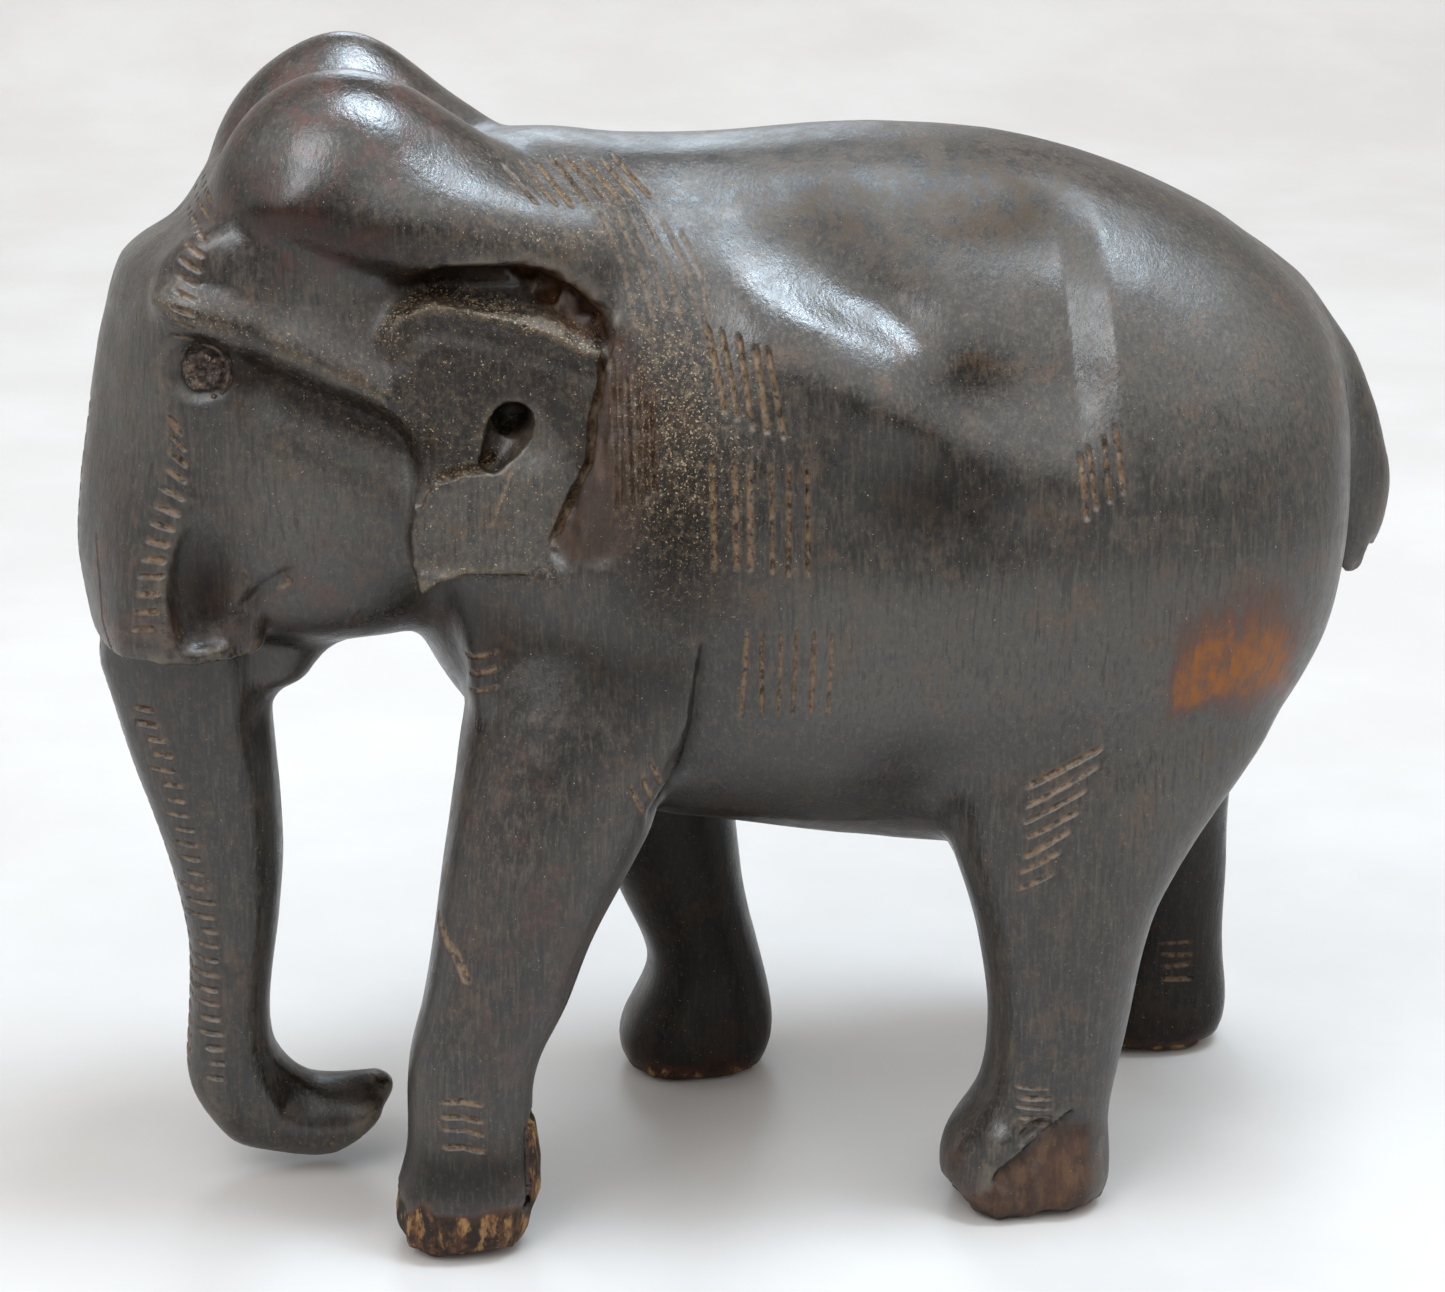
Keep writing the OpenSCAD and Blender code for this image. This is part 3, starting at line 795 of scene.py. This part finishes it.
def add_object(name, data, place=(0, 0, 0), way=None):
    """Puts data in the scene; a lamp or a camera looks along way."""
    obj = bpy.data.objects.new(name, data)
    bpy.context.collection.objects.link(obj)
    obj.location = place
    if way is not None:
        obj.rotation_euler = way.to_track_quat("-Z", "Y").to_euler()
    return obj


def make_mesh(name, points, faces):
    """A smooth-shaded mesh object from points in mm and faces with equal numbers of corners."""
    mesh = bpy.data.meshes.new(name)
    n, k = faces.shape
    mesh.vertices.add(len(points))
    mesh.vertices.foreach_set("co", (points * MM).astype(np.float32).ravel())
    mesh.loops.add(n * k)
    mesh.loops.foreach_set("vertex_index", faces.astype(np.int32).ravel())
    mesh.polygons.add(n)
    mesh.polygons.foreach_set("loop_start", (np.arange(n) * k).astype(np.int32))
    mesh.polygons.foreach_set("use_smooth", np.ones(n, dtype=bool))
    mesh.update(calc_edges=True)
    mesh.validate()
    return add_object(name, mesh)


def store(mesh, name, red, green, blue):
    """Keeps three masks on the mesh as one colour layer."""
    layer = mesh.color_attributes.new(name, "FLOAT_COLOR", "POINT")
    values = np.ones((len(red), 4), dtype=np.float32)
    values[:, 0], values[:, 1], values[:, 2] = red, green, blue
    layer.data.foreach_set("color", values.ravel())


def most(*masks):
    """The largest of the masks at each point, kept in 0..1."""
    return np.clip(np.maximum.reduce(masks), 0, 1)


def bare_wood(x, y, z):
    """Where the finish is gone: broken edge, split strip, and the worn feet."""
    o = np.abs(y)
    patchy = noise(x, y, z, 2.6, 31) * 0.5 + noise(x, y, z, (1, 1, 3), 32) * 0.5
    high = z > 80
    strip = 0.5 * high * smoothstep(0.5, -0.8, polygon_distance(x, z, RAW_STRIP) + 1.2 * patchy) * (o > 18)
    broken = 0.6 * high * smoothstep(0.4, -0.5, polygon_distance(x, z, BROKEN_EDGE)) * (o > 14)
    left = y < -10
    fore = left * (x < -20) * (x > -55)
    fore_toe = fore * smoothstep(7.6, 6.6, z + 2.2 * patchy)
    fore_heel = fore * (x > -31.3) * smoothstep(17.2, 16.4, z)
    hind = left * (x > 10) * (x < 46)
    across, _ = hind_flake(x, z)
    flake = 0.75 * hind * (o > 22) * smoothstep(0.2, 1, across + 0.5 * patchy)
    flake = flake * smoothstep(14, 12, z) * (1 - smoothstep(37.5, 39.5, x))
    hind_sole = hind * smoothstep(2.2, 0.8, z + patchy)
    far_soles = ~left * smoothstep(3, 1.4, z + 1.8 * patchy)
    return most(strip, broken, fore_toe, fore_heel, flake, hind_sole, far_soles)


def dust_amount(x, y, z):
    """Where pale dust has gathered: round the ear and neck, on the brow, over the shelf."""
    neck = spot(x, z, (-13, 103), (9, 18)) * smoothstep(-24, -17, x)
    above = 0.6 * bell(x, -22, 18) * window(120, 124, 130, 137, z)
    folds = [share * near_line(x, z, pts, width) for share, pts, width in (
        (1, EAR_FOLD, 1.8), (1, LOBE_CURL, 1.2), (0.7, LOBE_HEM, 1.5), (0.55, BROW_RIDGE, 3))]
    ear = (polygon_distance(x, z, EAR) < 0) * 0.35
    temple = 0.30 * spot(x, z, (-50, 106), (14, 14))
    return most(neck, above, ear, temple, *folds) * (np.abs(y) > 9)


def tan_amount(x, z):
    """Where the polish has dulled to a golden brown, high on the back."""
    hind = 1.2 * spot(x, z, (24, 125.5), (17, 7))
    fore = 1.1 * spot(x, z, (8, 126), (11, 5.5))
    return most(hind, fore)


def gloss_amount(x, z):
    """Where handling has polished the wood most: the dome, the ribs and the brow."""
    dome = spot(x, z, (-46, 135), (12, 14))
    ribs = window(-13, -3, 36, 48, x) * bell(z, 111, 10)
    brow = 0.9 * near_line(x, z, BROW_RIDGE, 3)
    return np.clip(most(dome, ribs, brow) - tan_amount(x, z), 0, 1)


def painted_shade_amount(x, y, z, normal):
    """Painted shade: the insides of the legs, downward faces, and the hollows low on the flank, in the
    sheath, on the ear and under the brow, the dome and the chin. It also darkens the curl's upward facet, the
    neck below the ear, the raw strip and the fore ankle.
    """
    outer = np.abs(y) > 15
    inward = smoothstep(-0.1, 0.6, -normal[:, 1] * np.sign(y)) * smoothstep(74, 62, z)
    under = smoothstep(0.3, 0.9, -normal[:, 2]) * (z > 50)
    belly = 0.9 * spot(x, z, (17, 94), (11, 7.5))
    sheath = spot(x, z, (-67, 82), (5, 9))
    neck = spot(x, z, (-13, 92), (8.5, 16))
    lines = [share * near_line(x, z, pts, width) for share, pts, width in (
        (1, BROW_HOLLOW, 4.2), (0.8, [(-58, 128), (-48, 124), (-40, 120.5)], 4.5),
        (0.7, [(-42, 80), (-30, 75), (-14, 73)], 6))]
    curl = 0.9 * smoothstep(0, 0.4, normal[:, 2]) * smoothstep(-64, -60, x) * (x < -44) * (z < 16)
    ear = 0.7 * smoothstep(0.5, -1, polygon_distance(x, z, EAR)) * outer
    ear = ear * smoothstep(-0.6, 0.4, polygon_distance(x, z, LOBE))
    strip = 0.6 * smoothstep(1, -1, polygon_distance(x, z, RAW_STRIP)) * outer
    ankle = 0.8 * bell(z, 12, 4.5) * (y < -10) * (x < -20) * (x > -56)
    return most(inward, under, curl, ankle, belly, sheath, neck, ear, strip, *lines)


def sheen_and_rub_amount(x, y, z):
    """Paler places, painted sheen and even rubbing: front, temple, cheek, ear lobe, belly, rump and hip."""
    cheek = spot(x, z, (-56, 92), (9, 10))
    lobe = smoothstep(0.5, -1.5, polygon_distance(x, z, LOBE)) * (np.abs(y) > 18)
    belly = smoothstep(-6, 4, x) * smoothstep(62, 70, z) * smoothstep(88, 82, z)
    rump = spot(x, z, (46, 60), (14, 12))
    hip = 0.7 * spot(x, z, (52, 104), (18, 14))
    temple = 0.7 * spot(x, z, (-53, 118), (8, 4))
    front = 0.8 * smoothstep(-68, -74, x) * smoothstep(90, 100, z)
    return most(cheek, lobe, belly, rump, hip, temple, front)


def worn_amount(x, y, z):
    """The patch on the near thigh that is rubbed through to orange wood."""
    patch = polygon_distance(x, z, WORN_PATCH) + 1.6 * noise(x, y, z, (3, 3, 5), 48)
    worn = (y < 0) * smoothstep(4.5, -3, patch) * (0.30 + 0.70 * smoothstep(83, 71, z))
    return worn * smoothstep(44.6, 46.4, x + 0.4 * noise(x, y, z, 1.5, 47))


def red_amount(x, z):
    """Where the dark finish lets red wood through: dome, mouth, foreleg and feet."""
    red = bell(x, -51, 12) * smoothstep(116, 124, z) + 0.7 * smoothstep(12, 2, z)
    red = red + 0.5 * spot(x, z, (-60, 80), (20, 8)) + 0.5 * spot(x, z, (-30, 40), (8, 25))
    return np.clip(red, 0, 1)


def carved_body():
    """The whole animal as one piece, with the masks that its material reads."""
    field = carve_body()
    marks = cut_marks(field)
    points, tri = fine_mesh(field, marks)
    distance, found = marks.near(points)
    distance = distance / marks.half[found]
    normal = field.normal(points)
    x, y, z = points.T
    bare = bare_wood(x, y, z)
    cut = marks.depth[found] * marks.taper[found] * smoothstep(1, 0, distance) ** 0.8
    splinters = 0.24 * noise(x, y, z, (0.7, 0.7, 4), 41) + 0.08 * noise(x, y, z, (0.35, 0.35, 1.5), 42)
    hand_cut = 0.10 * noise(x, y, z, (7, 7, 9), 43) + 0.035 * noise(x, y, z, (2.5, 2.5, 4), 44)
    rough = smoothstep(0.1, 0.5, bare) * splinters + hand_cut
    points = points - normal * (cut + np.where(z < SOLE_RIM, 0, rough))[:, None]
    points[:, 2] = np.maximum(points[:, 2], 0)
    body = make_mesh("elephant_body", points, tri)

    # against a blurred field, edges stand outside and hollows lie inside
    proud = field.value(points, field.blurred(CAVITY_BLUR))
    # edge: crisp ridges, lightened in the colour as worn edges and as a painted highlight
    edge = np.clip(3 * proud - 0.9, 0, 1) * (z > 3)
    # cavity: hollows, darkened in the colour as painted shade
    cavity = np.clip(-proud * 0.9 - 0.05, 0, 1)
    groove = marks.taper[found] * smoothstep(1.05, 0.35, distance) * marks.dusty[found]
    # dark is painted shade: insides of the legs, downward faces and sheltered hollows
    dark = painted_shade_amount(x, y, z, normal)
    store(body.data, "marks", groove, bare, dust_amount(x, y, z))
    # blue channel: cavity, painted shade in the hollows
    store(body.data, "stains_and_shade", worn_amount(x, y, z), red_amount(x, z), cavity)
    # green channel: dark, the painted shade
    store(body.data, "polish", gloss_amount(x, z), dark, tan_amount(x, z))
    # red channel: paler places, painted sheen and rubbing; green channel: edge, worn and painted highlight
    store(body.data, "sheen_and_wear", sheen_and_rub_amount(x, y, z) * (1 - dark), edge, 0)
    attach(body, "root")
    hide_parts("carved_body")
    return body, field


# ---------------------------------------------------------------- eyes

EYE_RINGS, EYE_SPOKES, EYE_RADIUS = 34, 96, 4.1


def disc_faces(rings, spokes):
    """Triangles of a disc of points, with one more point behind it and one at its middle."""
    j = np.arange(spokes)
    k = (j + 1) % spokes
    faces = []
    for i in range(rings):
        a, b = i * spokes + j, i * spokes + k
        faces += [(a, a + spokes, b + spokes), (a, b + spokes, b)]
    rim, back = rings * spokes, (rings + 1) * spokes
    faces += [(rim + j, np.full(spokes, back), rim + k), (np.full(spokes, back + 1), j, k)]
    return np.concatenate([np.stack(f, axis=1) for f in faces])


def eye(field, s, name, node):
    """A lump of mastic pressed into the hollow: a dimpled core inside a torn, raised ring."""
    lo, hi = (np.asarray(c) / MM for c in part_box(node))
    middle = (lo + hi) / 2
    seat = field.march([[middle[0] - 0.1, s * 30, middle[2]]], [[0, -s, 0]])[0]
    out = np.array([-0.28, s * 0.96, 0])
    out = out / np.linalg.norm(out)
    across = np.cross([0, 0, 1], out)
    across = across / np.linalg.norm(across)
    up = np.cross(out, across)

    ring_number, spoke = np.divmod(np.arange((EYE_RINGS + 1) * EYE_SPOKES), EYE_SPOKES)
    turn = 2 * np.pi * spoke / EYE_SPOKES
    r = EYE_RADIUS * (ring_number + 0.02) / EYE_RINGS
    u, v = -s * r * np.cos(turn), r * np.sin(turn)
    core = 1 - smoothstep(2.1, 2.75, r) - 0.75 * bell(r, 0, 0.75)
    upper_right = 0.62 + 0.38 * np.cos(turn - np.radians(35))
    ring = 1.25 * upper_right * bell(r, 3.2, 0.46)
    skirt = -1.6 * smoothstep(3.5, EYE_RADIUS, r)
    pits = noise(u, v, 0, 0.8, 51) * 0.42 + noise(u, v, 3, 0.38, 52) * 0.22
    height = 0.25 + core + ring + skirt + pits * (1 - smoothstep(3.6, 4, r))
    disc = seat + across * u[:, None] + up * v[:, None] + out * height[:, None]
    points = np.vstack([disc, seat - out * 1.9, disc[:EYE_SPOKES].mean(axis=0)])
    plug = make_mesh(name, points, facing_out(points, disc_faces(EYE_RINGS, EYE_SPOKES)))
    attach(plug, "root")
    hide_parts(node)
    return plug


# ---------------------------------------------------------------- materials

class Graph:
    """Short names for building the nodes of one material, or of the world."""

    def __init__(self, owner, shader, place):
        owner.use_nodes = True
        self.owner = owner
        self.nodes, self.links = owner.node_tree.nodes, owner.node_tree.links
        self.shader = self.nodes[shader]
        self.place = self.nodes.new("ShaderNodeTexCoord").outputs[place]

    def put(self, socket, value):
        if isinstance(value, bpy.types.NodeSocket):
            self.links.new(value, socket)
        else:
            socket.default_value = value

    def feed(self, name, value):
        """Sets or links one of the shader's own sockets."""
        self.put(self.shader.inputs[name], value)

    def math(self, operation, a, b, clamp=False):
        n = self.nodes.new("ShaderNodeMath")
        n.operation, n.use_clamp = operation, clamp
        self.put(n.inputs[0], a)
        self.put(n.inputs[1], b)
        return n.outputs[0]

    def times(self, a, b):
        return self.math("MULTIPLY", a, b)

    def plus(self, a, b):
        return self.math("ADD", a, b)

    def higher(self, a, b):
        return self.math("MAXIMUM", a, b)

    def ramp(self, value, lo, hi, out_lo=0, out_hi=1):
        n = self.nodes.new("ShaderNodeMapRange")
        n.interpolation_type = "SMOOTHSTEP"
        for socket, v in zip(n.inputs, (value, lo, hi, out_lo, out_hi)):
            self.put(socket, v)
        return n.outputs[0]

    def noise(self, size, detail=3, rough=0.55, stretch=(1, 1, 1), seed=0):
        """Noise whose features are about size mm across, times stretch."""
        m = self.nodes.new("ShaderNodeMapping")
        m.inputs["Scale"].default_value = [1 / (size * MM * k) for k in stretch]
        m.inputs["Location"].default_value = (seed, seed * 1.7, -seed)
        self.links.new(self.place, m.inputs["Vector"])
        n = self.nodes.new("ShaderNodeTexNoise")
        n.inputs["Scale"].default_value = 1
        n.inputs["Detail"].default_value = detail
        n.inputs["Roughness"].default_value = rough
        self.links.new(m.outputs[0], n.inputs["Vector"])
        return n.outputs["Fac"]

    def mix(self, factor, a, b):
        """A colour from a to b; each is a socket or a linear (r, g, b)."""
        n = self.nodes.new("ShaderNodeMix")
        n.data_type = "RGBA"
        self.put(n.inputs[0], factor)
        for number, color in ((6, a), (7, b)):
            self.put(n.inputs[number], color if isinstance(color, bpy.types.NodeSocket) else (*color, 1))
        return n.outputs[2]

    def coat(self, color, layers):
        """Lays each tint in turn over the color, by its own share."""
        for share, tint in layers:
            color = self.mix(share, color, tint)
        return color

    def layer(self, name):
        """The three masks that store() kept under a name."""
        a = self.nodes.new("ShaderNodeAttribute")
        a.attribute_name = name
        n = self.nodes.new("ShaderNodeSeparateColor")
        self.links.new(a.outputs["Color"], n.inputs[0])
        return n.outputs[:3]

    def bump(self, height, depth, below=None):
        """depth in mm."""
        n = self.nodes.new("ShaderNodeBump")
        n.inputs["Strength"].default_value = 1
        n.inputs["Distance"].default_value = depth * MM
        self.links.new(height, n.inputs["Height"])
        if below is not None:
            self.links.new(below, n.inputs["Normal"])
        return n.outputs[0]


def material_graph(name):
    return Graph(bpy.data.materials.new(name), "Principled BSDF", "Object")


BLACKENED = (0.003, 0.002, 0.0015)


def dark_wood():
    """Nearly black polish over red-brown wood, with the grain showing where it is gone."""
    g = material_graph("dark_wood")
    groove, bare, dust = g.layer("marks")
    worn, red, cavity = g.layer("stains_and_shade")
    gloss, dark, tan = g.layer("polish")
    sheen_and_rub, edge, _ = g.layer("sheen_and_wear")
    cloud = g.noise(14, 4, 0.6)
    mottle = g.noise(2.4, 6, 0.7, seed=3)
    fibre = g.noise(0.45, 4, 0.6, (1, 1, 14), 5)
    fleck = g.noise(0.30, 2, 0.5, seed=8)
    grit = g.noise(0.55, 4, 0.7, (1, 1, 1.6), 31)
    streak = g.noise(1.1, 4, 0.6, (1, 1, 9), 11)
    patch = g.noise(5, 5, 0.65, seed=14)

    scuffed = g.plus(0.22, g.times(dust, 0.4))
    reddened = g.times(g.times(red, g.ramp(patch, 0.44, 0.62)), 0.75)
    rubbed = g.times(worn, g.ramp(streak, 0.34, 0.62, 0.66, 1))
    rubbed = g.times(rubbed, g.ramp(mottle, 0.36, 0.58, 0.7, 1))
    # shade paints shadow into the colour, in the hollows (cavity) and on the painted-shade mask (dark); it
    # also lowers the specular
    shade = g.higher(g.times(cavity, 0.9), g.times(dark, 0.68))
    # worn edges and a painted highlight along crisp ridges
    edge_wear_and_highlight = g.times(g.times(edge, g.ramp(mottle, 0.36, 0.56)), 0.6)
    amber = g.ramp(g.noise(1.8, 4, 0.6, (1, 1, 2.2), 28), 0.50, 0.62)
    amber = g.times(amber, g.ramp(bare, 0.6, 1, 0.15, 0.85))
    filled = g.times(groove, g.ramp(g.noise(0.8, 3, 0.6, seed=17), 0.34, 0.58))
    film = g.times(dust, g.ramp(g.noise(0.8, 5, 0.75, seed=26), 0.48, 0.66))
    limit = g.math("SUBTRACT", 0.712, g.times(dust, 0.13))
    specks = g.ramp(g.math("SUBTRACT", fleck, limit), 0, 0.05)

    grain = g.mix(g.ramp(streak, 0.34, 0.66), (0.014, 0.008, 0.0045), (0.105, 0.046, 0.019))
    grain = g.mix(g.ramp(mottle, 0.42, 0.58), (0.014, 0.008, 0.005), grain)
    grain = g.coat(grain, (
        (amber, (0.25, 0.135, 0.050)),
        (g.ramp(bare, 1, 0.75, 0, 0.6), (0.045, 0.016, 0.007)),
    ))
    polish = g.mix(g.ramp(cloud, 0.35, 0.68), (0.0060, 0.0046, 0.0036), (0.0165, 0.0135, 0.0108))
    color = g.coat(polish, (
        # painted sheen and rubbing: a paler colour on the satin places
        (g.times(sheen_and_rub, 0.8), (0.045, 0.042, 0.036)),
        (g.ramp(mottle, 0.48, 0.66, 0, 0.5), (0.050, 0.032, 0.018)),
        (g.ramp(patch, 0.54, 0.68, 0, 0.5), (0.066, 0.032, 0.014)),
        (g.ramp(fibre, 0.50, 0.68, 0, 0.6), (0.054, 0.042, 0.030)),
        (g.ramp(fibre, 0.48, 0.34, 0, 0.6), BLACKENED),
        (g.times(g.ramp(grit, 0.53, 0.66), scuffed), (0.125, 0.095, 0.062)),
        (g.ramp(grit, 0.47, 0.34, 0, 0.4), BLACKENED),
        (g.times(tan, g.ramp(mottle, 0.35, 0.6)), (0.044, 0.028, 0.015)),
        (reddened, (0.045, 0.010, 0.006)),
        (g.ramp(rubbed, 0.02, 0.45, 0, 0.75), (0.060, 0.018, 0.008)),
        (g.ramp(rubbed, 0.30, 1.00, 0, 0.85), (0.24, 0.085, 0.014)),
        # painted shade, laid on by the shade mask
        (shade, (0.005, 0.0035, 0.0025)),
        (edge_wear_and_highlight, (0.100, 0.078, 0.052)),
        (bare, grain),
        (g.times(filled, 0.9), (0.16, 0.098, 0.050)),
        (g.times(film, 0.5), (0.20, 0.145, 0.085)),
        (g.times(specks, 0.75), (0.33, 0.24, 0.14)),
    ))
    g.feed("Base Color", color)

    dull = g.plus(g.times(groove, 0.4), g.times(bare, 0.35))
    dull = g.plus(dull, g.plus(g.times(dust, 0.16), g.times(tan, 0.2)))
    rough = g.plus(g.ramp(cloud, 0.3, 0.7, 0.29, 0.40), g.ramp(mottle, 0.35, 0.7, -0.05, 0.09))
    rough = g.plus(g.math("SUBTRACT", rough, g.times(gloss, 0.13)), dull)
    g.feed("Roughness", g.math("ADD", rough, g.times(specks, 0.3), clamp=True))
    matt = g.higher(g.times(dust, 0.6), g.higher(g.times(tan, 0.5), g.times(bare, 0.6)))
    matt = g.higher(matt, g.higher(shade, g.times(rubbed, 0.7)))
    g.feed("Specular IOR Level", g.ramp(matt, 0, 1, 0.42, 0.02))
    g.feed("IOR", 1.7)
    relief = None
    for height, depth in ((g.noise(1.6, 5, 0.6, (1, 1, 3), 21), 0.07),
                          (fibre, 0.035), (grit, 0.05), (specks, 0.05)):
        relief = g.bump(height, depth, relief)
    g.feed("Normal", relief)
    return g.owner


def eye_mastic():
    """Dark, crumbly filler with pale specks."""
    g = material_graph("eye_mastic")
    lump = g.noise(0.8, 5, 0.65)
    specks = g.ramp(g.noise(0.3, 2, 0.5, seed=4), 0.66, 0.70)
    color = g.mix(g.ramp(lump, 0.38, 0.64), (0.006, 0.004, 0.003), (0.075, 0.045, 0.028))
    g.feed("Base Color", g.mix(g.times(specks, 0.8), color, (0.30, 0.20, 0.11)))
    g.feed("Roughness", g.ramp(lump, 0.3, 0.7, 0.75, 0.5))
    g.feed("Normal", g.bump(lump, 0.25))
    return g.owner


# ---------------------------------------------------------------- floor, light, camera

def floor():
    """A pale sheet that bends up behind the object; lengths in metres."""
    half, bend, height = 3, 0.6, 2.5
    arc = [(bend + bend * math.sin(a), bend - bend * math.cos(a)) for a in np.linspace(0.05, math.pi / 2, 12)]
    line = [(-half, 0), (bend, 0), *arc, (2 * bend, height)]
    verts = [(x, y, z) for y, z in line for x in (-half, half)]
    faces = [(2 * i, 2 * i + 1, 2 * i + 3, 2 * i + 2) for i in range(len(line) - 1)]
    mesh = bpy.data.meshes.new("floor")
    mesh.from_pydata(verts, [], faces)
    mesh.polygons.foreach_set("use_smooth", [True] * len(faces))
    g = material_graph("floor")
    cloud = g.ramp(g.noise(60, 5, 0.6), 0.35, 0.7)
    g.feed("Base Color", g.mix(cloud, (0.440, 0.415, 0.397), (0.473, 0.452, 0.437)))
    g.feed("Roughness", 0.5)
    mesh.materials.append(g.owner)
    add_object("floor", mesh)


LAMPS_AIM = (0, 0, 0.1)
COOL = (0.70, 0.86, 1)
SOFTBOXES = (  # name, place and size in metres, watts, colour
    ("overhead", (0.16, -0.05, 0.88), (0.15, 0.36), 6.1, COOL),
    ("side", (0.33, -0.17, 0.88), (0.13, 0.22), 2.3, COOL),
    ("rear", (0.04, 0.70, 0.50), (0.24, 0.16), 1.05, (0.74, 0.88, 1)),
    ("left", (-0.43, -0.57, 0.72), (0.3, 0.5), 3.2, (0.88, 0.94, 1)),
)


def lights():
    """A room that is dim behind the viewer and bright above, with four softboxes."""
    world = bpy.data.worlds.new("world")
    bpy.context.scene.world = world
    g = Graph(world, "Background", "Generated")
    parts = g.nodes.new("ShaderNodeSeparateXYZ")
    g.links.new(g.place, parts.inputs[0])
    walls = g.ramp(parts.outputs["Y"], -1, -0.4, 0.08, 0.5)
    sky = g.ramp(parts.outputs["Y"], -0.2, 0.7, 2, 0.8)
    g.feed("Color", (0.99, 0.99, 0.98, 1))
    g.feed("Strength", g.ramp(parts.outputs["Z"], 0.05, 0.60, walls, sky))
    for name, place, size, watts, color in SOFTBOXES:
        lamp = bpy.data.lights.new(name, "AREA")
        lamp.shape = "RECTANGLE"
        lamp.size, lamp.size_y = size
        lamp.energy, lamp.color = watts, color
        add_object(name, lamp, place, Vector(LAMPS_AIM) - Vector(place))


def camera():
    """From ahead of the left side and a little above; the focal length is in pixels."""
    turn, rise, away = math.radians(-8), math.radians(18), 0.450
    aim = Vector((-0.0035, 0, 0.0674))
    sensor, focal_pixels, image_width = 36, 3600, 1445
    back = Vector((math.sin(turn) * math.cos(rise), -math.cos(turn) * math.cos(rise), math.sin(rise)))
    lens = bpy.data.cameras.new("camera")
    lens.sensor_width = sensor
    lens.lens = sensor * focal_pixels / image_width
    lens.clip_start, lens.clip_end = 0.01, 20
    bpy.context.scene.camera = add_object("camera", lens, aim + back * away, -back)


camera()
body, field = carved_body()
body.data.materials.append(dark_wood())
mastic = eye_mastic()
for side, name, node in ((LEFT, "left_eye", "left_eye_plug"), (RIGHT, "right_eye", "right_eye_plug")):
    eye(field, side, name, node).data.materials.append(mastic)
floor()
lights()
bpy.context.scene.view_settings.view_transform = "Standard"
